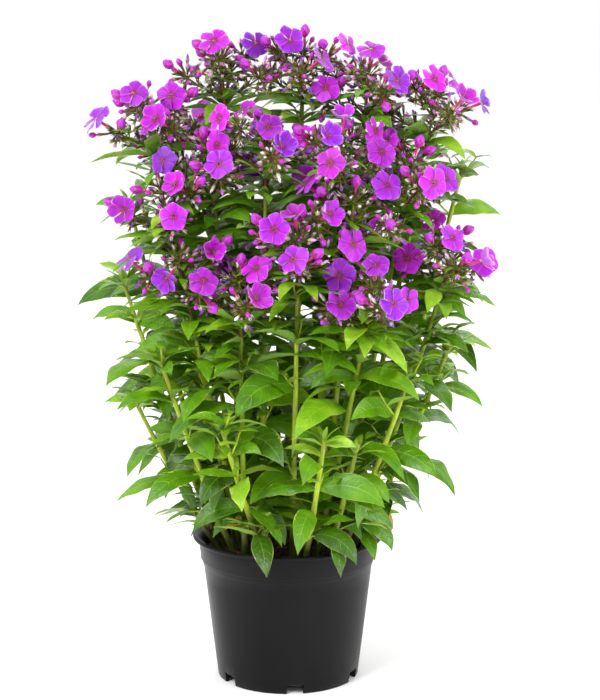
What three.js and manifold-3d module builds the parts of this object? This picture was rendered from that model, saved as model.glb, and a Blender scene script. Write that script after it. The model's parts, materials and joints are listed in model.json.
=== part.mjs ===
// A garden phlox (Phlox paniculata) in flower, standing in its plastic nursery pot.
//
// Leafy shoots rise from the soil and fan out. Most of them end in a head: a short axis with thin
// branches, each branch ending in a cyme, which is a knot of pointed calyces with a few swollen buds
// and open five-lobed flowers on slender tubes. Millimetres, +Z up, pot standing on Z = 0.
import * as THREE from "three";
import { mergeVertices } from "three/addons/utils/BufferGeometryUtils.js";
import Module from "manifold-3d";

const wasm = await Module();
wasm.setup();
const { Vector3 } = THREE;

// ---------------------------------------------------------------- driving dimensions

const POT = {
  height: 135,
  footRadius: 65.2,
  wallTopRadius: 77.9, // where the tapered wall meets the lower bead
  beadHeight: 106,
  collarHeight: 111,
  collarRadius: 82,
  rimRadius: 88,
  rimDepth: 4,
  wall: 1.9,
  baseLift: 8.5, // the base plate stands clear of the ground on the foot
  baseThickness: 1.6,
  segments: 28,
  notches: 6,
  notchWidth: 15,
  notchHeight: 8,
  notchTurn: -84, // degrees
};
const SOIL = { level: 117, ripple: 2.2, gap: 0.4, rings: [0.5] };
const STEM = {
  footRadius: 4.1, // from the centreline to a corner of the square stem
  tipRadius: 2.4,
  buried: 24,
  nodeHeight: 3.2,
  fan: 0.34, // where a shoot leaves the soil, as a share of how far out its tip leans
  bendOut: 0.62, // the point that the stem's curve bends towards, as shares of the way
  bendUp: 0.55, // from its foot to its tip
  holeGap: 0.45,
  room: 4.5,
  roomSpacing: 8,
  freeEnd: 2, // the last of a stem's tip, which its head grows round
};
const LEAF = {
  length: 88,
  widthShare: 0.4,
  facing: 44, // how far a blade rolls to turn its upper side to the light, in degrees
  shade: 90, // the plant's shaded middle, which the blades turn from, this far behind the axis
  thickness: 1.5,
  fold: 0.22, // how far the edges stand above the midrib, as a share of the half width
  petiole: 1.3, // half the width of its short stalk
  petioleShare: 0.2,
  lowShare: 0.64, // size of a leaf at the height of the rim, as a share of the largest
  fullHeight: 150, // how far above the rim the leaves reach their full size
  highest: 0.965, // where the last pair stands, as a share of the shoot
  roll: 28, // how far a blade may roll either way besides, in degrees
  rise: [12, 38], // its slope where it leaves the stem, on the lowest pair and on the highest
  fall: [-72, -30], // its slope at its tip
  slopeStray: { least: 12, more: 34 },
  azimuthStray: { least: 10, more: 55 },
  room: 2.2,
  roomSpacing: 5.5,
  shrink: 0.45, // how much shorter a leaf may be on its last try
  tries: 90,
  rings: [
    { from: 74, shares: [0.28, 0.68] },
    { from: 0, shares: [0.45] },
  ],
};
const HEAD = {
  tiers: [12, 30], // heights of the branch whorls above the shoot's end
  tipHeight: 47, // height of the cyme that ends the axis
  branchLength: [37, 28],
  branchRise: [26, 42], // degrees
  riseStray: { least: 6, more: 12 },
  azimuthStray: { least: 12, more: 22 },
  axisRoom: 5,
  branchRoom: 2,
  neckRadius: 1.2,
  seam: 0.3, // gap between a shoot's end and its head
  tries: 60,
};
const KNOT = { radius: 2.7, branches: 3 };
const CYME = { calyxLength: 11.5, calyces: 5, room: 11 };
const BLOOM = {
  lift: 26, // the slope that blooms look up at, in degrees
  liftStray: { least: 30, more: 30 },
  azimuthStray: { least: 60, more: 40 },
  tubeRoom: 1.8,
  tries: 50,
};
const FLOWER = {
  tubeLength: 24,
  tubeRadius: 1.15,
  radius: 14.3,
  turning: 0.75, // how far an open flower turns from its tube to the side that it faces
  notchShare: 0.8,
  throatDepth: 2.4,
  dish: 0.6,
  lobes: 5,
  mouthRoom: 5,
  room: 3.4, // of each of the balls that ring its face
  roomShare: 0.8, // the radius of that ring, as a share of the face's
  roomPlaces: 8,
};
const BUD = { tubeLength: 17, length: 12, radius: 4.8, widest: 0.46, sides: 6, room: 5.6 };

// Each flowering shoot: where its head starts, how many pairs of leaves it bears, and how many open
// flowers and swollen buds. facing is the side that its flowers turn to, in degrees round from +X.
const FLOWERING = [
  { tip: [-19, -48, 461], foot: [-24, -42], lowest: 154, pairs: 8, open: 7, buds: 2, facing: -95 },
  { tip: [-118, -8, 478], lowest: 190, pairs: 8, open: 5, buds: 5, facing: -110 },
  { tip: [-56, 18, 518], lowest: 236, pairs: 7, open: 2, buds: 7, facing: -100 },
  { tip: [13, 27, 522], lowest: 250, pairs: 7, open: 5, buds: 4, facing: -80 },
  { tip: [68, 8, 505], lowest: 236, pairs: 7, open: 5, buds: 4, facing: -85 },
  { tip: [124, 8, 488], lowest: 190, pairs: 8, open: 4, buds: 4, facing: -60 },
  { tip: [44, -55, 451], lowest: 200, pairs: 7, open: 6, buds: 2, facing: -85 },
  { tip: [100, -38, 430], lowest: 190, pairs: 7, open: 4, buds: 5, facing: -70 },
  { tip: [-84, -74, 352], lowest: 160, pairs: 6, open: 5, buds: 4, facing: -105 },
  { tip: [9, -102, 375], lowest: 154, pairs: 6, open: 6, buds: 3, facing: -90 },
  { tip: [66, -102, 335], foot: [19, -29], lowest: 160, pairs: 6, open: 6, buds: 3, facing: -85 },
  { tip: [134, -46, 362], lowest: 160, pairs: 6, open: 5, buds: 4, facing: -65 },
  { tip: [-40, -92, 336], foot: [-38, -52], lowest: 170, pairs: 6, open: 3, buds: 4, facing: -100 },
  { tip: [-64, -34, 440], lowest: 220, pairs: 7, open: 4, buds: 3, facing: -100 },
  { tip: [-100, -52, 408], lowest: 220, pairs: 6, open: 3, buds: 4, facing: -100 },
  { tip: [54, -78, 402], foot: [27, -20], lowest: 210, pairs: 6, open: 4, buds: 3, facing: -80 },
  { tip: [-94, 72, 450], lowest: 190, pairs: 7, open: 4, buds: 3, facing: 130 },
  { tip: [4, 106, 430], lowest: 180, pairs: 7, open: 5, buds: 3, facing: 90 },
  { tip: [98, 74, 440], lowest: 190, pairs: 7, open: 4, buds: 3, facing: 45 },
];
// Shoots that end in young leaves.
const LEAFY = [
  { tip: [-148, -20, 376], lowest: 180, pairs: 6 },
  { tip: [158, 10, 474], lowest: 200, pairs: 8 },
  { tip: [-110, -84, 312], lowest: 160, pairs: 5 },
  { tip: [106, -92, 300], lowest: 154, pairs: 5 },
  { tip: [-56, -124, 262], foot: [-10, -50], lowest: 150, pairs: 5 },
  { tip: [32, -130, 252], foot: [11, -50], lowest: 150, pairs: 5 },
  { tip: [-146, 34, 440], lowest: 220, pairs: 6 },
  { tip: [144, -44, 318], foot: [49, -6], lowest: 170, pairs: 5 },
  { tip: [-136, -44, 268], lowest: 150, pairs: 4 },
  { tip: [60, -102, 236], foot: [28, -42], lowest: 148, pairs: 4 },
  { tip: [-68, 122, 350], lowest: 160, pairs: 5 },
  { tip: [74, 124, 338], lowest: 160, pairs: 5 },
  { tip: [-34, 62, 462], lowest: 250, pairs: 6 },
  { tip: [52, 60, 452], lowest: 250, pairs: 6 },
  { tip: [-118, 46, 404], lowest: 230, pairs: 5 },
  { tip: [128, 52, 400], lowest: 230, pairs: 5 },
  { tip: [90, -56, 236], foot: [47, -31], lowest: 146, pairs: 4 },
];

// ---------------------------------------------------------------- numbers and directions

const DEGREE = Math.PI / 180;

/** A repeatable stream of numbers from 0 to 1 (mulberry32). */
function seeded(seed) {
  let state = seed >>> 0;
  return () => {
    state = (state + 0x6d2b79f5) >>> 0;
    let mixed = Math.imul(state ^ (state >>> 15), state | 1);
    mixed ^= mixed + Math.imul(mixed ^ (mixed >>> 7), mixed | 61);
    return ((mixed ^ (mixed >>> 14)) >>> 0) / 4294967296;
  };
}

const between = (low, high, share) => low + (high - low) * share;

/** A number from -1 to 1. */
const eitherWay = (draw) => 2 * draw() - 1;

/** A number either side of 0, whose reach grows as the tries go on and loose goes from 0 to 1. */
const strayed = ({ least, more }, loose, draw) => (least + more * loose) * eitherWay(draw);

/** The unit direction at an azimuth and an elevation, in degrees. */
function heading(azimuth, elevation) {
  const level = Math.cos(elevation * DEGREE);
  return new Vector3(
    Math.cos(azimuth * DEGREE) * level,
    Math.sin(azimuth * DEGREE) * level,
    Math.sin(elevation * DEGREE),
  );
}

const step = (from, direction, distance) => from.clone().addScaledVector(direction, distance);

/** The part of one direction that is square to another, and the direction a quarter turn on from it. */
function squareTo(direction, towards) {
  const first = step(towards, direction, -towards.dot(direction)).normalize();
  return [first, direction.clone().cross(first)];
}

// ---------------------------------------------------------------- room

/** The room that pieces take up, as balls, each with the owner that fills it. */
class Room {
  cellSize = 20;
  cells = new Map();

  /** The balls that may reach a point: those of its own cell and of the cells round it. */
  *near({ x, y, z }) {
    const [i, j, k] = [x, y, z].map((value) => Math.floor(value / this.cellSize));
    for (const a of [i - 1, i, i + 1])
      for (const b of [j - 1, j, j + 1])
        for (const c of [k - 1, k, k + 1]) yield* this.cells.get([a, b, c].join()) ?? [];
  }

  /** Whether balls keep clear of all the room taken, but for that of the owners passed over. */
  isClear(balls, passedOver) {
    for (const one of balls)
      for (const other of this.near(one.centre)) {
        const apart = one.radius + other.radius;
        const isOver = passedOver.includes(other.owner);
        if (!isOver && one.centre.distanceTo(other.centre) < apart) return false;
      }
    return true;
  }

  take(balls, owner) {
    for (const one of balls) {
      const key = one.centre.toArray().map((value) => Math.floor(value / this.cellSize)).join();
      if (!this.cells.has(key)) this.cells.set(key, []);
      this.cells.get(key).push({ ...one, owner });
    }
  }
}

const room = new Room();

const ball = (centre, radius) => ({ centre, radius });

// ---------------------------------------------------------------- growth: shoots

/** A shoot's centreline: out of the crown, leaning outwards and then turning up. */
function shootPoint({ foot, bend, top }, share) {
  const rest = 1 - share;
  return foot
    .clone()
    .multiplyScalar(rest * rest)
    .addScaledVector(bend, 2 * share * rest)
    .addScaledVector(top, share * share);
}

function shootDirection({ foot, bend, top }, share) {
  const before = bend.clone().sub(foot).multiplyScalar(1 - share);
  return before.addScaledVector(top.clone().sub(bend), share).normalize();
}

const shootRadius = (share) => between(STEM.footRadius, STEM.tipRadius, share);

function makeShoot({ tip, foot, ...facts }, number) {
  const top = new Vector3(...tip);
  const base = new Vector3(top.x * STEM.fan, top.y * STEM.fan, SOIL.level - STEM.buried);
  if (foot) base.set(...foot, base.z);
  const bend = new Vector3(
    between(base.x, top.x, STEM.bendOut),
    between(base.y, top.y, STEM.bendOut),
    between(base.z, top.z, STEM.bendUp),
  );
  const turn = 360 * seeded(313 * number + 9)();
  const owner = "shoot " + number;
  const shoot = { ...facts, number, owner, turn, foot: base, bend, top, leaves: [] };
  const reach = top.z - base.z;
  const balls = [];
  for (let z = 0; z < reach - STEM.freeEnd; z += STEM.roomSpacing)
    balls.push(ball(shootPoint(shoot, z / reach), STEM.room));
  room.take(balls, shoot.owner);
  return shoot;
}

// ---------------------------------------------------------------- growth: heads

// A head branches at knots, which have the faces of an octahedron: one looks back down the branch
// that the knot ends, the opposite one looks on, and three of the others look outwards and up.
const OCTAHEDRON = (() => {
  const geometry = new THREE.OctahedronGeometry(KNOT.radius, 0);
  geometry.deleteAttribute("normal");
  geometry.deleteAttribute("uv");
  const { attributes, index } = mergeVertices(geometry);
  const corners = Array.from({ length: attributes.position.count }, (_, i) =>
    new Vector3().fromBufferAttribute(attributes.position, i),
  );
  const faces = [];
  for (let i = 0; i < index.count; i += 3) faces.push([0, 1, 2].map((j) => index.getX(i + j)));
  return { corners, faces };
})();

const middleOf = (points) =>
  points.reduce((sum, p) => sum.addScaledVector(p, 1 / points.length), new Vector3());

/** The turn between a frame's axes and those of the world, from two directions square to each other. */
const frameOf = (outwards, side) =>
  new THREE.Matrix4().makeBasis(side, outwards.clone().cross(side), outwards);

/**
 * A knot at a centre: its first face looks along the direction, the next three outwards and a little
 * that way, and its last face looks back, with that face's first corner towards the side.
 */
function makeKnot(centre, direction, side) {
  const rest = OCTAHEDRON.faces[0].map((i) => OCTAHEDRON.corners[i]);
  const back = middleOf(rest).normalize();
  const [restSide] = squareTo(back, rest[0]);
  const [turnedSide] = squareTo(direction, side);
  const turn = frameOf(direction.clone().negate(), turnedSide);
  turn.multiply(frameOf(back, restSide).transpose());
  const corners = OCTAHEDRON.corners.map((one) => one.clone().applyMatrix4(turn).add(centre));
  const faces = OCTAHEDRON.faces.map((face) => {
    const middle = middleOf(face.map((i) => corners[i]));
    const outwards = middle.clone().sub(centre).normalize();
    return { face, middle, outwards, side: corners[face[0]].clone().sub(middle) };
  });
  const along = (one) => Math.round(100 * one.outwards.dot(direction));
  faces.sort((one, other) => along(other) - along(one));
  return { centre, direction, corners, faces };
}

/** A branch off a face of a knot, and the cyme that it ends in. */
function tryCyme(shoot, tier, index) {
  const draw = seeded(911 * shoot.number + 37 * (3 * tier + index) + 5);
  const { axis, cymes, owner } = shoot.head;
  const knot = axis[tier];
  const place = knot.faces[1 + index];
  const azimuth = Math.atan2(place.outwards.y, place.outwards.x) / DEGREE;
  for (let attempt = 0; attempt < HEAD.tries; attempt++) {
    const loose = attempt / HEAD.tries;
    const direction = heading(
      azimuth + strayed(HEAD.azimuthStray, loose, draw),
      HEAD.branchRise[tier] + strayed(HEAD.riseStray, loose, draw),
    );
    const length = HEAD.branchLength[tier] * between(0.85, 1.15, draw()) * (1 - 0.45 * loose);
    const centre = step(knot.centre, direction, length);
    const branch = [0.35, 0.65].map((share) =>
      ball(step(knot.centre, direction, length * share), HEAD.branchRoom),
    );
    const knotBall = ball(centre, CYME.room);
    if (!room.isClear([...branch, knotBall], [shoot.owner, owner])) continue;
    const name = owner + " " + tier + " " + index;
    room.take([...branch, knotBall], name);
    place.branch = { ...makeKnot(centre, direction, place.side), owner: name, blooms: [] };
    cymes.push(place.branch);
    return;
  }
}

/** The room of a bloom: its tube, and the bud at the end or the mouth and rim of the open flower. */
function bloomRoom(bloom) {
  const tube = [0.36, 0.68].map((share) =>
    ball(step(bloom.root, bloom.direction, share * bloom.length), BLOOM.tubeRoom),
  );
  if (!bloom.isOpen)
    return [...tube, ball(step(bloom.mouth, bloom.direction, BUD.length / 2), BUD.room)];
  const [across, over] = squareTo(bloom.face, bloom.side);
  const ringRadius = FLOWER.radius * bloom.size * FLOWER.roomShare;
  const ring = Array.from({ length: FLOWER.roomPlaces }, (_, i) => {
    const turn = (i / FLOWER.roomPlaces) * 2 * Math.PI;
    const rim = step(bloom.mouth, across, ringRadius * Math.cos(turn));
    return ball(rim.addScaledVector(over, ringRadius * Math.sin(turn)), FLOWER.room);
  });
  return [...tube, ball(bloom.mouth, FLOWER.mouthRoom), ...ring];
}

/** A flower or a swollen bud, on the free face of its cyme that looks most nearly its way. */
function tryBloom(shoot, cyme, index, isOpen) {
  const draw = seeded(7001 * shoot.number + 131 * index + 17);
  const free = cyme.faces.slice(0, -1).filter((place) => !place.bloom);
  for (let attempt = 0; attempt < BLOOM.tries; attempt++) {
    const loose = attempt / BLOOM.tries;
    const wanted = heading(
      shoot.facing + strayed(BLOOM.azimuthStray, loose, draw),
      BLOOM.lift + strayed(BLOOM.liftStray, loose, draw),
    );
    const lookingOut = (one) => one.outwards.dot(wanted) + 0.4 * one.outwards.dot(cyme.direction);
    const place = free.reduce((best, one) => (lookingOut(one) > lookingOut(best) ? one : best));
    const direction = step(place.outwards, wanted, 0.5).normalize();
    const tube = isOpen ? FLOWER.tubeLength : BUD.tubeLength;
    const length = tube * between(0.92, 1.12, draw());
    const bloom = { isOpen, direction, length, root: cyme.centre };
    bloom.mouth = step(cyme.centre, direction, length);
    bloom.face = step(direction, wanted, FLOWER.turning).normalize();
    bloom.side = place.side;
    bloom.size = between(0.9, 1.06, draw());
    const balls = bloomRoom(bloom);
    if (!room.isClear(balls, [cyme.owner])) continue;
    room.take(balls, "bloom " + shoot.number + " " + index);
    place.bloom = bloom;
    cyme.blooms.push(bloom);
    return;
  }
}

/** A head: knots up an axis, a whorl of branches at each but the last, and a cyme at every end. */
function growHead(shoot) {
  const direction = shootDirection(shoot, 1);
  const start = step(shoot.top, direction, HEAD.seam);
  const axis = [];
  const knotAt = (height) => {
    const side = axis.at(-1)?.faces[0].side ?? heading(360 * seeded(17 * shoot.number + 3)(), 0);
    const knot = makeKnot(step(start, direction, height), direction, side);
    if (axis.length) axis.at(-1).faces[0].branch = knot;
    axis.push(knot);
  };
  [...HEAD.tiers, HEAD.tipHeight].forEach(knotAt);
  const owner = "head " + shoot.number;
  const last = Object.assign(axis.pop(), { owner: owner + " last", blooms: [] });
  shoot.head = { start, direction, owner, axis, cymes: [last] };
  const stages = [start, ...axis.map((knot) => knot.centre)];
  room.take(stages.map((centre) => ball(centre, HEAD.axisRoom)), owner);
  room.take([ball(last.centre, CYME.room)], last.owner);
  axis.forEach((_, tier) => {
    for (let i = 0; i < KNOT.branches; i++) tryCyme(shoot, tier, i);
  });
}

/** Open flowers and then buds, dealt out to the cymes in turn. */
function growBlooms(shoot) {
  const { cymes } = shoot.head;
  for (let i = 0; i < shoot.open + shoot.buds; i++)
    tryBloom(shoot, cymes.at(-1 - (i % cymes.length)), i, i < shoot.open);
}

// ---------------------------------------------------------------- growth: leaves

/** Half a leaf's width at a share of its length: widest a little before its middle, with a fine point. */
function halfWidth(leaf, share) {
  const outline = 3.90 * share ** 0.92 * (1 - share) ** 1.05;
  const stalk = LEAF.petiole * Math.max(0, 1 - share / LEAF.petioleShare);
  return Math.max((leaf.width / 2) * outline, stalk);
}

/** The arching midrib at a share of its length, with the leaf's way across and its upper side there. */
function midrib(leaf, share) {
  const curl = ((leaf.fall - leaf.rise) * DEGREE) / leaf.length;
  const first = leaf.rise * DEGREE;
  const here = first + curl * leaf.length * share;
  const out = (Math.sin(here) - Math.sin(first)) / curl;
  const climb = (Math.cos(first) - Math.cos(here)) / curl;
  const [c, s] = [Math.cos(leaf.azimuth * DEGREE), Math.sin(leaf.azimuth * DEGREE)];
  const along = new Vector3(c * Math.cos(here), s * Math.cos(here), Math.sin(here));
  const level = new Vector3(-s, c, 0);
  const upper = along.clone().cross(level);
  const [rollC, rollS] = [Math.cos(leaf.roll * DEGREE), Math.sin(leaf.roll * DEGREE)];
  return {
    centre: new Vector3(leaf.root.x + c * out, leaf.root.y + s * out, leaf.root.z + climb),
    across: level.clone().multiplyScalar(rollC).addScaledVector(upper, rollS),
    upper: upper.clone().multiplyScalar(rollC).addScaledVector(level, -rollS),
  };
}

/** A point of the blade: side is -1 and 1 at the two edges and 0 on the midrib. */
function bladePoint(leaf, share, side) {
  const { centre, across, upper } = midrib(leaf, share);
  const half = halfWidth(leaf, share);
  return step(step(centre, across, half * side), upper, LEAF.fold * half * Math.abs(side));
}

/** The room of a leaf: rows of balls across its blade, and single ones in its narrow point. */
function leafRoom(leaf) {
  const balls = [];
  const rows = Math.ceil(leaf.length / LEAF.roomSpacing);
  for (let row = 1; row <= rows; row++) {
    const share = row / rows;
    for (const side of share > 0.88 ? [0] : [-0.85, -0.4, 0, 0.4, 0.85])
      balls.push(ball(bladePoint(leaf, share, side), LEAF.room));
  }
  return balls;
}

/** Whether a leaf stays above the rim until it is past it. */
function clearsPot(balls) {
  const margin = 6;
  return balls.every(
    ({ centre }) =>
      centre.z > POT.height + margin ||
      Math.hypot(centre.x, centre.y) > POT.rimRadius + margin,
  );
}

/** A leaf's size as a share of the largest: short near the soil, and again towards the tip. */
function leafSize(shoot, z, height) {
  const low = Math.min(1, between(LEAF.lowShare, 1, (z - POT.height) / LEAF.fullHeight));
  return low * (shoot.head ? 1 - 0.4 * height ** 4 : 1 - 0.6 * height ** 2.5);
}

/** One leaf of a pair. It takes the first of its tries that is clear, and is left out if none is. */
function tryLeaf(shoot, pair, side) {
  const draw = seeded(5003 * shoot.number + 101 * (2 * pair + (side > 1)));
  const height = pair / (shoot.pairs - 1);
  const share = pairShare(shoot, pair);
  const root = shootPoint(shoot, share);
  const size = leafSize(shoot, root.z, height);
  for (let attempt = 0; attempt < LEAF.tries; attempt++) {
    const loose = attempt / LEAF.tries;
    const length = LEAF.length * size * between(0.92, 1.08, draw()) * (1 - LEAF.shrink * loose);
    const azimuth = shoot.turn + 90 * side + strayed(LEAF.azimuthStray, loose, draw);
    const offLight = Math.atan2(root.y - LEAF.shade, root.x) - azimuth * DEGREE;
    const leaf = {
      root,
      pair,
      side,
      length,
      width: length * LEAF.widthShare * between(0.92, 1.1, draw()),
      azimuth,
      rise: between(...LEAF.rise, height) + strayed(LEAF.slopeStray, loose, draw),
      fall: between(...LEAF.fall, height) + strayed(LEAF.slopeStray, loose, draw),
      roll: LEAF.roll * eitherWay(draw) - LEAF.facing * Math.sin(offLight),
    };
    const balls = leafRoom(leaf);
    if (!clearsPot(balls) || !room.isClear(balls, [shoot.owner])) continue;
    room.take(balls, "leaf " + shoot.number + " " + pair + " " + side);
    shoot.leaves.push(leaf);
    return;
  }
}

/** Where a pair of leaves stands, as a share of its shoot. */
function pairShare(shoot, pair) {
  const first = (shoot.lowest - shoot.foot.z) / (shoot.top.z - shoot.foot.z);
  return between(first, LEAF.highest, pair / (shoot.pairs - 1));
}

/** Pairs of leaves up a shoot, each pair a quarter turn on from the one below. */
function growLeaves(shoot) {
  for (let pair = 0; pair < shoot.pairs; pair++) {
    tryLeaf(shoot, pair, pair % 2);
    tryLeaf(shoot, pair, (pair % 2) + 2);
  }
}

// ---------------------------------------------------------------- solids

/** A closed surface made ring by ring. Each ring runs anticlockwise, looking back from its end. */
class Skin {
  positions = [];
  triangles = [];

  add(points) {
    const first = this.positions.length / 3;
    points.forEach((p) => this.positions.push(p.x, p.y, p.z));
    return points.map((_, i) => first + i);
  }

  /** Joins a ring to the next, which has one point, as many or a whole multiple of them. */
  band(low, high, isBlade = false) {
    const many = high.length / low.length;
    low.forEach((a, j) => {
      const b = low[(j + 1) % low.length];
      if (high.length === 1) {
        this.triangles.push(a, b, high[0]);
        return;
      }
      const far = high[(many * (j + 1)) % high.length];
      if (isBlade && j % 2) {
        this.triangles.push(a, b, high[j], b, far, high[j]);
        return;
      }
      for (let i = many * j; i < many * (j + 1); i++)
        this.triangles.push(a, high[(i + 1) % high.length], high[i]);
      this.triangles.push(a, b, far);
    });
  }

  /** Adds rings one after another from a ring that the skin has, and returns the last. */
  grow(from, rings, isBlade = false) {
    return rings.reduce((ring, points) => {
      const next = this.add(points);
      this.band(ring, next, isBlade);
      return next;
    }, from);
  }

  close(ring, isStart = false) {
    for (let j = 1; j + 1 < ring.length; j++)
      this.triangles.push(ring[0], ...(isStart ? [ring[j + 1], ring[j]] : [ring[j], ring[j + 1]]));
  }

  get geometry() {
    return new THREE.BufferGeometry()
      .setAttribute("position", new THREE.Float32BufferAttribute(this.positions, 3))
      .setIndex(this.triangles);
  }
}

/** Points round a centre in the plane square to a direction, the first of them towards a side. */
function ringOf(centre, direction, side, radius, sides, first = 0) {
  const [across, over] = squareTo(direction, side);
  return Array.from({ length: sides }, (_, i) => {
    const turn = first * DEGREE + (i / sides) * 2 * Math.PI;
    const point = step(centre, across, radius * Math.cos(turn));
    return point.addScaledVector(over, radius * Math.sin(turn));
  });
}

function toSolid(geometry) {
  const bare = geometry.clone();
  bare.deleteAttribute("normal");
  bare.deleteAttribute("uv");
  const merged = mergeVertices(bare, 1e-4);
  return new wasm.Manifold(
    new wasm.Mesh({
      numProp: 3,
      vertProperties: merged.attributes.position.array,
      triVerts: new Uint32Array(merged.index.array),
    }),
  );
}

function meshOf(name, solid, finish) {
  const { vertProperties, triVerts } = solid.getMesh();
  const geometry = new THREE.BufferGeometry()
    .setAttribute("position", new THREE.BufferAttribute(vertProperties, 3))
    .setIndex(new THREE.BufferAttribute(triVerts, 1));
  const mesh = new THREE.Mesh(geometry, new THREE.MeshStandardMaterial(finish));
  mesh.name = name;
  return mesh;
}

/** The four corners of a square stem, its sides facing the leaves, let out by a gap for its hole. */
function stemRing(shoot, share, gap = 0) {
  const radius = shootRadius(share) + gap;
  const direction = shootDirection(shoot, share);
  return ringOf(shootPoint(shoot, share), direction, heading(shoot.turn, 0), radius, 4, -45);
}

/** A leaf's rings: a blade folded along the midrib, thickest there and thin at its edges. */
function bladeRings(leaf) {
  const { shares } = LEAF.rings.find(({ from }) => leaf.length >= from);
  const rings = shares.map((share) => {
    const { centre, upper } = midrib(leaf, share);
    return [
      bladePoint(leaf, share, 1),
      step(centre, upper, LEAF.thickness * 0.4),
      bladePoint(leaf, share, -1),
      step(centre, upper, -LEAF.thickness * 0.6),
    ];
  });
  return [...rings, [bladePoint(leaf, 1, 0)]];
}

/** A stem with its leaves, each raised from the side of the stem that it stands on. */
function shootBody(shoot) {
  const skin = new Skin();
  const halfNode = STEM.nodeHeight / 2 / (shoot.top.z - shoot.foot.z);
  let ring = skin.add(stemRing(shoot, 0));
  skin.close(ring, true);
  for (let pair = 0; pair < shoot.pairs; pair++) {
    const share = pairShare(shoot, pair);
    const low = skin.grow(ring, [stemRing(shoot, share - halfNode)]);
    const high = skin.add(stemRing(shoot, share + halfNode));
    low.forEach((a, side) => {
      const after = (side + 1) % low.length;
      const leaf = shoot.leaves.find((one) => one.pair === pair && one.side === side);
      const patch = [high[after], high[side], a, low[after]];
      if (leaf?.roll < 0) patch.unshift(patch.pop());
      if (leaf) skin.grow(patch, bladeRings(leaf), true);
      else skin.close(patch);
    });
    ring = high;
  }
  skin.close(skin.grow(ring, [stemRing(shoot, 1)]));
  return skin.geometry;
}

/** The outline of an open flower's five lobes, with a notch between each two. */
function lobeRing({ mouth, face, side, size }) {
  const [across, over] = squareTo(face, side);
  const count = 3 * FLOWER.lobes;
  return Array.from({ length: count }, (_, i) => {
    const spread = [0, -0.15, 0.15][i % 3];
    const turn = ((i + spread) / count) * 2 * Math.PI;
    const radius = FLOWER.radius * size * (i % 3 ? 1 : FLOWER.notchShare);
    const point = step(mouth, across, radius * Math.cos(turn));
    return point.addScaledVector(over, radius * Math.sin(turn));
  });
}

/** What follows a tube: the open flower's flat face, or the swollen bud. */
function bloomRings(bloom) {
  const { mouth, face, direction, side, size, isOpen } = bloom;
  if (isOpen) return [lobeRing(bloom), [step(mouth, face, -FLOWER.dish)]];
  const widest = step(mouth, direction, BUD.widest * BUD.length);
  return [
    ringOf(widest, direction, side, BUD.radius * size, BUD.sides),
    [step(mouth, direction, BUD.length)],
  ];
}

/** The corners of a knot's last face, in the order of those of the face that it springs from. */
function backCorners({ faces }, corners) {
  const [first, second, third] = faces.at(-1).face;
  return [first, third, second].map((i) => corners[i]);
}

/** A knot, added to a skin, with all that rises from its faces: branches, blooms and calyces. */
function addKnot(skin, knot, corners, draw) {
  knot.faces.slice(0, -1).forEach(({ face, middle, outwards, branch, bloom }, rank) => {
    const root = face.map((i) => corners[i]);
    if (branch) {
      const next = skin.add(branch.corners);
      skin.band(root, backCorners(branch, next));
      addKnot(skin, branch, next, draw);
    } else if (bloom) {
      const end = step(bloom.mouth, bloom.direction, bloom.isOpen ? -FLOWER.throatDepth : 0);
      const neck = face.map((i) => {
        const way = knot.corners[i].clone().sub(middle).normalize();
        return step(end, way, FLOWER.tubeRadius);
      });
      skin.grow(root, [neck, ...bloomRings(bloom)]);
    } else if (knot.blooms && rank < CYME.calyces) {
      const reach = CYME.calyxLength * between(0.8, 1.15, draw());
      skin.grow(root, [[step(knot.centre, outwards, reach)]]);
    } else {
      skin.close(root);
    }
  });
}

/** A head from the foot of its axis, all in one skin. */
function headBody({ head, number }) {
  const skin = new Skin();
  const [first] = head.axis;
  const foot = backCorners(first, first.corners).map((corner) => {
    const [way] = squareTo(head.direction, corner.clone().sub(first.centre));
    return step(head.start, way, HEAD.neckRadius);
  });
  const ring = skin.add(foot);
  const corners = skin.add(first.corners);
  skin.close(ring, true);
  skin.band(ring, backCorners(first, corners));
  addKnot(skin, first, corners, seeded(770 * number));
  return skin.geometry;
}

/** A body turned about Z from its outline of [radius, height] pairs. */
function turned(outline) {
  const points = outline.map(([radius, height]) => new THREE.Vector2(radius, height));
  return new THREE.LatheGeometry(points, POT.segments).rotateX(Math.PI / 2);
}

/** The inside radius of the pot's tapered wall at a height. */
function potBore(height) {
  const outside = between(POT.footRadius, POT.wallTopRadius, height / POT.beadHeight);
  return Math.min(outside, POT.collarRadius) - POT.wall;
}

function potSolid() {
  const { height, footRadius, wallTopRadius, beadHeight, collarHeight, collarRadius, wall } = POT;
  const { rimRadius, rimDepth, baseLift, baseThickness } = POT;
  const footWidth = wall + 0.8;
  const outline = [
    [0, baseLift],
    [footRadius - footWidth, baseLift],
    [footRadius - footWidth, 0],
    [footRadius, 0],
    [wallTopRadius, beadHeight],
    [collarRadius - 0.8, collarHeight],
    [collarRadius, height - rimDepth],
    [rimRadius, height - rimDepth + 1],
    [rimRadius - 0.5, height],
    [collarRadius - wall, height - 0.6],
    [potBore(beadHeight), beadHeight],
    [potBore(baseLift), baseLift + baseThickness],
    [0, baseLift + baseThickness],
  ];
  let pot = toSolid(turned(outline));
  for (let i = 0; i < POT.notches; i++) {
    const cutter = new THREE.BoxGeometry(12, POT.notchWidth, 2 * POT.notchHeight)
      .translate(POT.footRadius, 0, 0)
      .rotateZ((POT.notchTurn + (360 * i) / POT.notches) * DEGREE);
    pot = pot.subtract(toSolid(cutter));
  }
  return pot;
}

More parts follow.
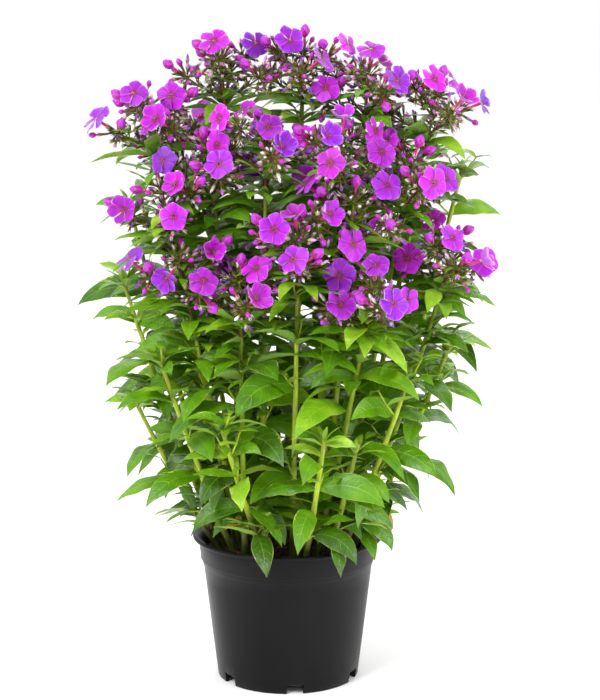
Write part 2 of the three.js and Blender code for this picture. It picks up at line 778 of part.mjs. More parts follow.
/** The soil: rough on top, filling the pot, with a plain hole for each stem. */
function soilSolid(shoots) {
  const floor = POT.baseLift + POT.baseThickness + SOIL.gap;
  const edge = (height) => potBore(height) - SOIL.gap;
  const body = turned([
    [0, floor],
    [edge(floor) - 0.3, floor],
    [edge(POT.beadHeight), POT.beadHeight],
    [edge(POT.beadHeight) + 0.6, SOIL.level],
    ...SOIL.rings.map((share) => [edge(SOIL.level) * share, SOIL.level]).reverse(),
    [0, SOIL.level],
  ]);
  const place = body.attributes.position;
  for (let i = 0; i < place.count; i++) {
    const [x, y, z] = [place.getX(i), place.getY(i), place.getZ(i)];
    const isInner = Math.hypot(x, y) < edge(SOIL.level) * 0.9;
    if (z > SOIL.level - 0.01 && isInner)
      place.setZ(i, z + SOIL.ripple * (Math.sin(x / 9) + Math.cos(y / 7.5)));
  }
  return shoots.reduce((soil, shoot) => {
    const reach = shoot.top.z - shoot.foot.z;
    const hole = new Skin();
    const bottom = hole.add(stemRing(shoot, -STEM.holeGap / reach, STEM.holeGap));
    hole.close(bottom, true);
    hole.close(hole.grow(bottom, [stemRing(shoot, (STEM.buried + 12) / reach, STEM.holeGap)]));
    return soil.subtract(toSolid(hole.geometry));
  }, toSolid(body));
}

// ---------------------------------------------------------------- the plant

const BLACK_PLASTIC = { color: "#26272a", roughness: 0.45 };
const POTTING_SOIL = { color: "#3b241d", roughness: 0.95 };
const LEAF_GREEN = { color: "#4d8a1c", roughness: 0.5 };
const PETAL_MAGENTA = { color: "#c23df0", roughness: 0.6 };

const shoots = [...FLOWERING, ...LEAFY].map((facts, i) => makeShoot(facts, i + 1));
const flowering = shoots.slice(0, FLOWERING.length);
flowering.forEach(growHead);
flowering.forEach(growBlooms);
shoots.forEach(growLeaves);

const two = (number) => String(number).padStart(2, "0");
const plant = new THREE.Group();
plant.add(meshOf("nursery_pot", potSolid(), BLACK_PLASTIC));
plant.add(meshOf("potting_soil", soilSolid(shoots), POTTING_SOIL));
shoots.forEach((shoot) => {
  const label = two(shoot.number);
  const kind = shoot.head ? "flowering_stem_" : "leafy_shoot_";
  plant.add(meshOf(kind + label, toSolid(shootBody(shoot)), LEAF_GREEN));
  if (shoot.head)
    plant.add(meshOf("flower_head_" + label, toSolid(headBody(shoot)), PETAL_MAGENTA));
});

// The frame's origin is under the middle of the plant's spread.
const spread = new THREE.Box3().setFromObject(plant);
const middle = spread.getCenter(new Vector3());
plant.position.set(-middle.x, -middle.y, 0);

export default plant;
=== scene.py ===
"""A garden phlox in flower in its nursery pot: the fine form and the finish of every piece.

Growth rules with seeded draws place each shoot, leaf, branch, flower and bud. Classes for the pot, the
soil, the leafy stems and the heads then build fine meshes there. The rules count in millimetres from the
pot's axis and the ground, and the meshes are in metres.
"""

import json
import logging
import math
from dataclasses import dataclass, field
from enum import Enum

import bpy
import numpy as np
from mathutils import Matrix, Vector, noise

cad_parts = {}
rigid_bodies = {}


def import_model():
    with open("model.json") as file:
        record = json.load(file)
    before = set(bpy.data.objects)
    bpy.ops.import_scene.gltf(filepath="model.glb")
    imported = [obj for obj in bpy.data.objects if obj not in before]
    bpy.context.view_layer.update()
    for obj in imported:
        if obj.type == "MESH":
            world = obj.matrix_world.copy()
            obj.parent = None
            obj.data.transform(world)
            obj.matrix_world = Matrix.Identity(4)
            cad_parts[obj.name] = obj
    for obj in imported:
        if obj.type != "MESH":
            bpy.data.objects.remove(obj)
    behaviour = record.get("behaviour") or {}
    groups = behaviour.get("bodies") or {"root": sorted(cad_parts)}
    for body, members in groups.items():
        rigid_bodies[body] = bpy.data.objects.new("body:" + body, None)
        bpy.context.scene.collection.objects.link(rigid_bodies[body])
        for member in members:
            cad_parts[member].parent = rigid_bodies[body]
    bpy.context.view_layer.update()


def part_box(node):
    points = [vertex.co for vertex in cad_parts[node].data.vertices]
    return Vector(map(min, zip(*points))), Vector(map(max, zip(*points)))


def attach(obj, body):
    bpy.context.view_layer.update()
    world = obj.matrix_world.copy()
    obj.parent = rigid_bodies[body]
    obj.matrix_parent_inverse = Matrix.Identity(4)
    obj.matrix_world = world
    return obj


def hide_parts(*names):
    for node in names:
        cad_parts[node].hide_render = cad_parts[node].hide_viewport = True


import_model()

LOG = logging.getLogger("phlox")
Points = np.ndarray
Random = np.random.Generator
Triple = tuple[float, float, float]
Material = bpy.types.Material
Tree = bpy.types.NodeTree
Socket = bpy.types.NodeSocket
Look = tuple[Socket, Socket | float, Socket]

# ---- sizes, in millimetres


@dataclass(frozen=True)
class Stray:
    """How far a draw may stray either way on the first try, and how much further on the last."""

    least: float
    more: float

    def draw(self, loose: float, draws: "Draws") -> float:
        """A number either side of 0, further out the looser the try."""
        return (self.least + self.more * loose) * draws.either_way()


@dataclass(frozen=True)
class PotSizes:
    """The round nursery pot."""

    height: float = 135
    foot_radius: float = 65.2
    wall_top_radius: float = 77.9
    bead_height: float = 106
    collar_height: float = 112
    collar_step: float = 119.6
    collar_radius: float = 82
    rim_radius: float = 88
    rim_depth: float = 4
    wall: float = 1.9
    foot_width: float = 2.7
    base_lift: float = 8.5
    base_thickness: float = 1.6
    notches: int = 6
    notch_width: float = 15
    notch_height: float = 8
    notch_turn: float = -84

    def bore(self, height: float) -> float:
        """The inside radius of the wall at a height."""
        outside = between(self.foot_radius, self.wall_top_radius, height / self.bead_height)
        return min(outside, self.collar_radius) - self.wall


@dataclass(frozen=True)
class StemSizes:
    """A shoot's stem and the room that it takes."""

    foot_radius: float = 3.5
    tip_radius: float = 2.0
    buried: float = 24
    fan: float = 0.34
    bend_out: float = 0.62
    bend_up: float = 0.55
    room: float = 4.5
    room_spacing: float = 8
    free_end: float = 2


@dataclass(frozen=True)
class LeafSizes:
    """A full-grown leaf, and how leaves vary up a shoot."""

    length: float = 88
    width_share: float = 0.4
    facing: float = 44
    shade: float = 90
    fold: float = 0.22
    petiole: float = 1.3
    petiole_share: float = 0.2
    low_share: float = 0.64
    full_height: float = 150
    highest: float = 0.965
    roll: float = 28
    rise: tuple[float, float] = (12, 38)
    fall: tuple[float, float] = (-72, -30)
    slope_stray: Stray = Stray(12, 34)
    azimuth_stray: Stray = Stray(10, 55)
    room: float = 2.2
    room_spacing: float = 5.5
    pot_room: float = 6
    shrink: float = 0.45
    tries: int = 90


@dataclass(frozen=True)
class HeadSizes:
    """The axis of a head and its whorls of branches."""

    tiers: tuple[float, float] = (12, 30)
    tip_height: float = 47
    branch_length: tuple[float, float] = (37, 28)
    branch_rise: tuple[float, float] = (26, 42)
    rise_stray: Stray = Stray(6, 12)
    azimuth_stray: Stray = Stray(12, 22)
    axis_room: float = 5
    branch_room: float = 2
    branches: int = 3
    seam: float = 0.3
    knot: float = 2.7
    cyme_room: float = 11
    tries: int = 60


@dataclass(frozen=True)
class BloomSizes:
    """Open flowers and swollen buds, on their tubes."""

    lift: float = 26
    lift_stray: Stray = Stray(30, 30)
    azimuth_stray: Stray = Stray(60, 40)
    tube_room: float = 1.8
    tries: int = 50
    flower_tube: float = 24
    flower_radius: float = 14.3
    turning: float = 0.75
    mouth_room: float = 5
    ring_room: float = 3.4
    ring_share: float = 0.8
    ring_places: int = 8
    bud_tube: float = 17
    bud_length: float = 12
    bud_radius: float = 4.8
    bud_room: float = 5.6


POT = PotSizes()
STEM = StemSizes()
LEAF = LeafSizes()
HEAD = HeadSizes()
BLOOM = BloomSizes()
SOIL_LEVEL = 117.0


@dataclass(frozen=True)
class Plan:
    """One shoot: where its stem ends and starts, and what it bears."""

    tip: Triple
    lowest: float
    pairs: int
    open: int = 0
    buds: int = 0
    facing: float = 0
    foot: tuple[float, float] | None = None


FLOWERING = (
    Plan((-19, -48, 461), 154, 8, 7, 2, -95, (-24, -42)),
    Plan((-118, -8, 478), 190, 8, 5, 5, -110),
    Plan((-56, 18, 518), 236, 7, 2, 7, -100),
    Plan((13, 27, 522), 250, 7, 5, 4, -80),
    Plan((68, 8, 505), 236, 7, 5, 4, -85),
    Plan((124, 8, 488), 190, 8, 4, 4, -60),
    Plan((44, -55, 451), 200, 7, 6, 2, -85),
    Plan((100, -38, 430), 190, 7, 4, 5, -70),
    Plan((-84, -74, 352), 160, 6, 5, 4, -105),
    Plan((9, -102, 375), 154, 6, 6, 3, -90),
    Plan((66, -102, 335), 160, 6, 6, 3, -85, (19, -29)),
    Plan((134, -46, 362), 160, 6, 5, 4, -65),
    Plan((-40, -92, 336), 170, 6, 3, 4, -100, (-38, -52)),
    Plan((-64, -34, 440), 220, 7, 4, 3, -100),
    Plan((-100, -52, 408), 220, 6, 3, 4, -100),
    Plan((54, -78, 402), 210, 6, 4, 3, -80, (27, -20)),
    Plan((-94, 72, 450), 190, 7, 4, 3, 130),
    Plan((4, 106, 430), 180, 7, 5, 3, 90),
    Plan((98, 74, 440), 190, 7, 4, 3, 45),
)
LEAFY = (
    Plan((-148, -20, 376), 180, 6),
    Plan((158, 10, 474), 200, 8),
    Plan((-110, -84, 312), 160, 5),
    Plan((106, -92, 300), 154, 5),
    Plan((-56, -124, 262), 150, 5, foot=(-10, -50)),
    Plan((32, -130, 252), 150, 5, foot=(11, -50)),
    Plan((-146, 34, 440), 220, 6),
    Plan((144, -44, 318), 170, 5, foot=(49, -6)),
    Plan((-136, -44, 268), 150, 4),
    Plan((60, -102, 236), 148, 4, foot=(28, -42)),
    Plan((-68, 122, 350), 160, 5),
    Plan((74, 124, 338), 160, 5),
    Plan((-34, 62, 462), 250, 6),
    Plan((52, 60, 452), 250, 6),
    Plan((-118, 46, 404), 230, 5),
    Plan((128, 52, 400), 230, 5),
    Plan((90, -56, 236), 146, 4, foot=(47, -31)),
)

# ---- numbers and directions

# a way that no stem or stalk runs, from which a round section can be turned
ASIDE = np.array((0.31, 0.95, 0.02))


class Draws:
    """A repeatable stream of numbers from 0 to 1 (mulberry32)."""

    WORD = 0xFFFFFFFF

    def __init__(self, seed: int) -> None:
        """Starts the stream at a seed."""
        self.state = seed & self.WORD

    def one(self) -> float:
        """The next number.

        Returns:
            A number from 0 to 1.
        """
        self.state = (self.state + 0x6D2B79F5) & self.WORD
        mixed = ((self.state ^ (self.state >> 15)) * (self.state | 1)) & self.WORD
        mixed ^= (mixed + ((mixed ^ (mixed >> 7)) * (mixed | 61) & self.WORD)) & self.WORD
        return (mixed ^ (mixed >> 14)) / (self.WORD + 1)

    def between(self, low: float, high: float) -> float:
        """The next number from low to high."""
        return low + (high - low) * self.one()

    def either_way(self) -> float:
        """The next number from -1 to 1."""
        return 2 * self.one() - 1


def between(low: float, high: float, share: float) -> float:
    """The number a share of the way from low to high."""
    return low + (high - low) * share


def unit(vectors: Points) -> Points:
    """Vectors at length 1."""
    return vectors / np.linalg.norm(vectors, axis=-1, keepdims=True)


def heading(azimuth: float, elevation: float) -> Points:
    """The unit direction at an azimuth and an elevation, in degrees."""
    turn, climb = math.radians(azimuth), math.radians(elevation)
    return np.array((math.cos(turn) * math.cos(climb), math.sin(turn) * math.cos(climb), math.sin(climb)))


def full_turn(count: int) -> Points:
    """Angles in radians, spread evenly round a full turn."""
    return np.arange(count) / count * 2 * math.pi


def rays(across: Points, over: Points, turns: Points | float) -> Points:
    """The directions at angles from one direction to another that is square to it."""
    turns = np.asarray(turns)[..., None]
    return across * np.cos(turns) + over * np.sin(turns)


def square_to(direction: Points, towards: Points) -> tuple[Points, Points]:
    """Two directions square to one.

    Args:
        direction: One unit direction, or a row of them.
        towards: The way that the first of the two leans.

    Returns:
        The part of towards that is square to the direction, and the direction a quarter turn on from it.
    """
    along = np.sum(direction * towards, axis=-1, keepdims=True)
    first = unit(towards - direction * along)
    return first, np.cross(direction, first)


# ---- room


class Room:
    """The room that pieces take up, as balls, each with the owner that fills it."""

    CELL = 20.0
    FEW = 10
    KEY = np.array((1_000_000, 1_000, 1))
    ROUND_ABOUT = np.stack(np.meshgrid(*[(-1, 0, 1)] * 3, indexing="ij"), -1).reshape(-1, 3)

    def __init__(self, most: int = 60000) -> None:
        """Makes an empty room.

        Args:
            most: The most balls that it may hold.
        """
        self.centres = np.zeros((most, 3))
        self.places = np.zeros((most, 3), int)
        self.radii = np.zeros(most)
        self.owners = np.zeros(most, int)
        self.count = 0
        self.names: dict[str, int] = {}
        self.cells: dict[int, list[int]] = {}

    def number(self, owner: str) -> int:
        """The number that stands for an owner."""
        return self.names.setdefault(owner, len(self.names))

    def is_clear(self, centres: Points, radii: Points, passed_over: list[str]) -> bool:
        """Whether balls keep clear of all the room taken.

        Args:
            centres: The balls' centres, one a row.
            radii: Their radii.
            passed_over: Owners whose room doesn't count.

        Returns:
            False where a ball meets one that is in its own cell or in a cell next to it.
        """
        over = [self.number(owner) for owner in passed_over]
        for few in (slice(2, None, self.FEW), slice(None)):
            places = np.floor(centres[few] / self.CELL).astype(int)
            keys = np.unique((places[:, None] + self.ROUND_ABOUT) @ self.KEY).tolist()
            near = np.array([ball for key in keys for ball in self.cells.get(key, ())], int)
            near = near[~np.isin(self.owners[near], over)]
            away = centres[few][:, None] - self.centres[near]
            apart = np.einsum("ijk,ijk->ij", away, away)
            steps = np.abs(places[:, None] - self.places[near]).max(2)
            if ((apart < (radii[few][:, None] + self.radii[near]) ** 2) & (steps <= 1)).any():
                return False
        return True

    def take(self, centres: Points, radii: Points, owner: str) -> None:
        """Fills the room of some balls.

        Args:
            centres: The balls' centres, one a row.
            radii: Their radii.
            owner: What fills them.
        """
        rows = range(self.count, self.count + len(centres))
        places = np.floor(centres / self.CELL).astype(int)
        self.centres[rows], self.places[rows], self.radii[rows] = centres, places, radii
        self.owners[rows] = self.number(owner)
        for row, key in zip(rows, places @ self.KEY):
            self.cells.setdefault(int(key), []).append(row)
        self.count += len(centres)


# ---- growth


@dataclass
class Leaf:
    """A leaf's place and its arching midrib."""

    root: Points
    pair: int
    side: int
    length: float
    width: float
    azimuth: float
    rise: float
    fall: float
    roll: float
    height: float = 0

    def half_width(self, shares: Points) -> Points:
        """Half the blade's width, widest a little before its middle, with a fine point.

        Args:
            shares: Shares of the length.

        Returns:
            Half the width at each.
        """
        outline = 3.9 * shares**0.92 * (1 - shares) ** 1.05
        stalk = LEAF.petiole * np.maximum(0, 1 - shares / LEAF.petiole_share)
        return np.maximum(self.width / 2 * outline, stalk)

    def midrib(self, shares: Points) -> tuple[Points, Points, Points, Points]:
        """The midrib, an arc that starts at the leaf's rise and ends at its fall.

        Args:
            shares: Shares of its length.

        Returns:
            Points there, and the ways along, across and up.
        """
        first = math.radians(self.rise)
        curl = math.radians(self.fall - self.rise) / self.length
        here = first + curl * self.length * shares
        out, climb = (np.sin(here) - math.sin(first)) / curl, (math.cos(first) - np.cos(here)) / curl
        c, s = math.cos(math.radians(self.azimuth)), math.sin(math.radians(self.azimuth))
        along = np.stack([c * np.cos(here), s * np.cos(here), np.sin(here)], -1)
        level = np.array((-s, c, 0.0))
        upper = np.cross(along, level)
        roll_c, roll_s = math.cos(math.radians(self.roll)), math.sin(math.radians(self.roll))
        points = self.root + np.stack([c * out, s * out, climb], -1)
        return points, along, level * roll_c + upper * roll_s, upper * roll_c - level * roll_s

    def blade_points(self, shares: Points, sides: Points) -> Points:
        """Points of the blade.

        Args:
            shares: Shares of its length.
            sides: -1 and 1 at the two edges, and 0 on the midrib.

        Returns:
            A point for each share and side.
        """
        centre, _, across, upper = self.midrib(shares)
        half = self.half_width(shares)
        raised = LEAF.fold * half * np.abs(sides)
        return centre + across * (half * sides)[:, None] + upper * raised[:, None]

    def balls(self) -> Points:
        """The room of the leaf: rows of balls across its blade, and single ones in its narrow point.

        Returns:
            The balls' centres, one a row.
        """
        rows = math.ceil(self.length / LEAF.room_spacing)
        pairs = [
            (row / rows, side)
            for row in range(1, rows + 1)
            for side in ((0,) if row / rows > 0.88 else (-0.85, -0.4, 0, 0.4, 0.85))
        ]
        shares, sides = np.array(pairs).T
        return self.blade_points(shares, sides)


@dataclass
class Bloom:
    """An open flower or a swollen bud at the end of its tube."""

    is_open: bool
    direction: Points
    length: float
    root: Points
    mouth: Points
    face: Points
    side: Points
    size: float

    def balls(self) -> tuple[Points, Points]:
        """The room of the bloom: its tube, and the bud at the end or the mouth and rim of the flower.

        Returns:
            The balls' centres, one a row, and their radii.
        """
        tube = [self.root + self.direction * (share * self.length) for share in (0.36, 0.68)]
        radii = [BLOOM.tube_room] * 2
        if not self.is_open:
            bud = self.mouth + self.direction * (BLOOM.bud_length / 2)
            return np.array([*tube, bud]), np.array([*radii, BLOOM.bud_room])
        across, over = square_to(self.face, self.side)
        reach = BLOOM.flower_radius * self.size * BLOOM.ring_share
        ring = self.mouth + reach * rays(across, over, full_turn(BLOOM.ring_places))
        radii += [BLOOM.mouth_room] + [BLOOM.ring_room] * BLOOM.ring_places
        return np.array([*tube, self.mouth, *ring]), np.array(radii)


@dataclass
class KnotFace:
    """A face of a knot, and what grows from it."""

    outwards: Points
    side: Points
    is_free: bool = True


OCTAHEDRON_CORNERS = np.array([(0, 1, 0), (0, 0, 1), (1, 0, 0), (0, -1, 0), (0, 0, -1), (-1, 0, 0)], float)
OCTAHEDRON_FACES = ((0, 1, 2), (1, 3, 2), (3, 4, 2), (4, 0, 2), (0, 4, 5), (4, 3, 5), (3, 1, 5), (1, 0, 5))


@dataclass
class Knot:
    """A branching point of a head, with the faces of an octahedron; at a branch's end it is a cyme."""

    centre: Points
    direction: Points
    faces: list[KnotFace]
    owner: str = ""
    parent: "Knot | None" = None
    blooms: list[Bloom] = field(default_factory=list)

    @classmethod
    def at(cls, centre: Points, direction: Points, side: Points) -> "Knot":
        """A knot turned to face a direction.

        Args:
            centre: Its middle.
            direction: The way that its first face looks; its last face looks back.
            side: The way that the last face's first corner leans.

        Returns:
            The knot, its faces in order from the most along the direction to the least.
        """
        corners = OCTAHEDRON_CORNERS * HEAD.knot
        rest = corners[list(OCTAHEDRON_FACES[0])]
        back = unit(rest.mean(0))
        rest_axes = cls.axes(back, square_to(back, rest[0])[0])
        axes = cls.axes(-direction, square_to(direction, side)[0])
        corners = corners @ (axes @ rest_axes.T).T + centre
        faces = []
        for face in OCTAHEDRON_FACES:
            middle = corners[list(face)].mean(0)
            faces.append(KnotFace(unit(middle - centre), corners[face[0]] - middle))
        faces.sort(key=lambda one: -round(100 * float(one.outwards @ direction)))
        return cls(centre, direction, faces)

    @staticmethod
    def axes(outwards: Points, side: Points) -> Points:
        """The turn whose columns are a side, the direction a quarter turn on and the way outwards."""
        return np.stack([side, np.cross(outwards, side), outwards], 1)


@dataclass
class Shoot:
    """A shoot and everything that has grown on it."""

    plan: Plan
    number: int
    foot: Points
    bend: Points
    top: Points
    turn: float
    leaves: list[Leaf] = field(default_factory=list)
    axis: list[Knot] = field(default_factory=list)
    cymes: list[Knot] = field(default_factory=list)

    @property
    def owner(self) -> str:
        """The owner of the stem's room."""
        return f"shoot {self.number}"

    @property
    def label(self) -> str:
        """The shoot's number as its nodes' names have it."""
        return f"{self.number:02d}"

    @property
    def is_flowering(self) -> bool:
        """Whether the shoot ends in a head."""
        return bool(self.plan.open)

    def points(self, shares: Points) -> Points:
        """Points of the centreline: out of the crown, leaning outwards and then turning up."""
        share = np.asarray(shares, float)[..., None]
        return self.foot * (1 - share) ** 2 + self.bend * (2 * share * (1 - share)) + self.top * share**2

    def direction(self, share: float) -> Points:
        """The way that the centreline runs at a share of it."""
        return unit((self.bend - self.foot) * (1 - share) + (self.top - self.bend) * share)

    def pair_share(self, pair: int) -> float:
        """Where a pair of leaves stands, as a share of the shoot."""
        first = (self.plan.lowest - self.foot[2]) / (self.top[2] - self.foot[2])
        return between(first, LEAF.highest, pair / (self.plan.pairs - 1))


class Growth:
    """Grows every shoot, each part taking the first of its tries that is clear of all before it."""

    def __init__(self) -> None:
        """Grows stems, then heads, then blooms, then leaves."""
        self.room = Room()
        self.shoots = [self.shoot(plan, i + 1) for i, plan in enumerate((*FLOWERING, *LEAFY))]
        flowering = [shoot for shoot in self.shoots if shoot.is_flowering]
        for shoot in flowering:
            self.head(shoot)
        for shoot in flowering:
            self.blooms(shoot)
        for shoot in self.shoots:
            for pair in range(shoot.plan.pairs):
                self.leaf(shoot, pair, pair % 2)
                self.leaf(shoot, pair, pair % 2 + 2)

    def shoot(self, plan: Plan, number: int) -> Shoot:
        """Grows a stem, and takes its room.

        Args:
            plan: The shoot's plan.
            number: Its number, which seeds its draws.

        Returns:
            The shoot, so far without leaves or a head.
        """
        top = np.array(plan.tip, float)
        foot = np.array((top[0] * STEM.fan, top[1] * STEM.fan, SOIL_LEVEL - STEM.buried))
        if plan.foot:
            foot[:2] = plan.foot
        shares = np.array((STEM.bend_out, STEM.bend_out, STEM.bend_up))
        turn = 360 * Draws(313 * number + 9).one()
        shoot = Shoot(plan, number, foot, foot + (top - foot) * shares, top, turn)
        reach = top[2] - foot[2]
        centres = shoot.points(np.arange(0, reach - STEM.free_end, STEM.room_spacing) / reach)
        self.room.take(centres, np.full(len(centres), STEM.room), shoot.owner)
        return shoot

    def head(self, shoot: Shoot) -> None:
        """Grows a head: knots up an axis, a whorl of branches at each but the last, and a cyme at every end.

        Args:
            shoot: The shoot that bears it.
        """
        direction = shoot.direction(1)
        start = shoot.top + direction * HEAD.seam
        side = heading(360 * Draws(17 * shoot.number + 3).one(), 0)
        for height in (*HEAD.tiers, HEAD.tip_height):
            knot = Knot.at(start + direction * height, direction, side)
            side = knot.faces[0].side
            shoot.axis.append(knot)
        last = shoot.axis.pop()
        last.owner, last.parent = f"head {shoot.number} last", shoot.axis[-1]
        shoot.cymes.append(last)
        centres = np.array([start, *(knot.centre for knot in shoot.axis)])
        self.room.take(centres, np.full(len(centres), HEAD.axis_room), f"head {shoot.number}")
        self.room.take(last.centre[None], np.array([HEAD.cyme_room]), last.owner)
        for tier in range(len(shoot.axis)):
            for index in range(HEAD.branches):
                self.cyme(shoot, tier, index)

    def cyme(self, shoot: Shoot, tier: int, index: int) -> None:
        """Grows a branch off a knot of the axis, and the cyme that it ends in.

        Args:
            shoot: The shoot that bears it.
            tier: The knot's place on the axis.
            index: The branch's place round the knot.
        """
        draws = Draws(911 * shoot.number + 37 * (3 * tier + index) + 5)
        knot = shoot.axis[tier]
        place = knot.faces[1 + index]
        azimuth = math.degrees(math.atan2(place.outwards[1], place.outwards[0]))
        for attempt in range(HEAD.tries):
            loose = attempt / HEAD.tries
            turned = azimuth + HEAD.azimuth_stray.draw(loose, draws)
            direction = heading(turned, HEAD.branch_rise[tier] + HEAD.rise_stray.draw(loose, draws))
            length = HEAD.branch_length[tier] * draws.between(0.85, 1.15) * (1 - 0.45 * loose)
            centres = knot.centre + np.outer(np.array((0.35, 0.65, 1)) * length, direction)
            radii = np.array((HEAD.branch_room, HEAD.branch_room, HEAD.cyme_room))
            if self.room.is_clear(centres, radii, [shoot.owner, f"head {shoot.number}"]):
                cyme = Knot.at(centres[-1], direction, place.side)
                cyme.owner, cyme.parent = f"head {shoot.number} {tier} {index}", knot
                self.room.take(centres, radii, cyme.owner)
                shoot.cymes.append(cyme)
                return

    def blooms(self, shoot: Shoot) -> None:
        """Grows open flowers and then buds, dealt out to the cymes in turn."""
        for index in range(shoot.plan.open + shoot.plan.buds):
            self.bloom(shoot, shoot.cymes[-1 - index % len(shoot.cymes)], index, index < shoot.plan.open)

    def bloom(self, shoot: Shoot, cyme: Knot, index: int, is_open: bool) -> None:
        """Grows a flower or a bud, on the free face of its cyme that looks most nearly its way.

        Args:
            shoot: The shoot that bears it.
            cyme: Its cyme.
            index: Its place among the shoot's blooms.
            is_open: Whether it is an open flower.
        """
        draws = Draws(7001 * shoot.number + 131 * index + 17)
        free = [place for place in cyme.faces[:-1] if place.is_free]
        for attempt in range(BLOOM.tries):
            loose = attempt / BLOOM.tries
            azimuth = shoot.plan.facing + BLOOM.azimuth_stray.draw(loose, draws)
            wanted = heading(azimuth, BLOOM.lift + BLOOM.lift_stray.draw(loose, draws))
            looks = [one.outwards @ wanted + 0.4 * (one.outwards @ cyme.direction) for one in free]
            place = free[int(np.argmax(looks))]
            direction = unit(place.outwards + 0.5 * wanted)
            length = (BLOOM.flower_tube if is_open else BLOOM.bud_tube) * draws.between(0.92, 1.12)
            mouth = cyme.centre + direction * length
            face = unit(direction + BLOOM.turning * wanted)
            size = draws.between(0.9, 1.06)
            bloom = Bloom(is_open, direction, length, cyme.centre, mouth, face, place.side, size)
            centres, radii = bloom.balls()
            if self.room.is_clear(centres, radii, [cyme.owner]):
                self.room.take(centres, radii, f"bloom {shoot.number} {index}")
                place.is_free = False
                cyme.blooms.append(bloom)
                return

    def leaf(self, shoot: Shoot, pair: int, side: int) -> None:
        """Grows one leaf, left out if none of its tries is clear.

        Args:
            shoot: The shoot that bears it.
            pair: Its pair, counted from the lowest.
            side: The quarter turn that it stands at.
        """
        draws = Draws(5003 * shoot.number + 101 * (2 * pair + (side > 1)))
        height = pair / (shoot.plan.pairs - 1)
        root = shoot.points(shoot.pair_share(pair))
        low = min(1, between(LEAF.low_share, 1, (root[2] - POT.height) / LEAF.full_height))
        size = low * (1 - 0.4 * height**4 if shoot.is_flowering else 1 - 0.6 * height**2.5)
        for attempt in range(LEAF.tries):
            loose = attempt / LEAF.tries
            length = LEAF.length * size * draws.between(0.92, 1.08) * (1 - LEAF.shrink * loose)
            azimuth = shoot.turn + 90 * side + LEAF.azimuth_stray.draw(loose, draws)
            off_light = math.atan2(root[1] - LEAF.shade, root[0]) - math.radians(azimuth)
            width = length * LEAF.width_share * draws.between(0.92, 1.1)
            rise = between(*LEAF.rise, height) + LEAF.slope_stray.draw(loose, draws)
            fall = between(*LEAF.fall, height) + LEAF.slope_stray.draw(loose, draws)
            roll = LEAF.roll * draws.either_way() - LEAF.facing * math.sin(off_light)
            leaf = Leaf(root, pair, side, length, width, azimuth, rise, fall, roll, height)
            centres = leaf.balls()
            above = centres[:, 2] > POT.height + LEAF.pot_room
            past = np.hypot(centres[:, 0], centres[:, 1]) > POT.rim_radius + LEAF.pot_room
            radii = np.full(len(centres), LEAF.room)
            if (above | past).all() and self.room.is_clear(centres, radii, [shoot.owner]):
                self.room.take(centres, radii, f"leaf {shoot.number} {pair} {side}")
                shoot.leaves.append(leaf)
                return


# ---- meshes


class Finish(Enum):
    """The finishes of the plant's parts, in the order of the materials of its meshes."""

    STEM = 0
    LEAF = 1
    BRANCH = 2
    CALYX = 3
    TUBE = 4
    PETAL = 5
    BUD = 6
    ANTHER = 7


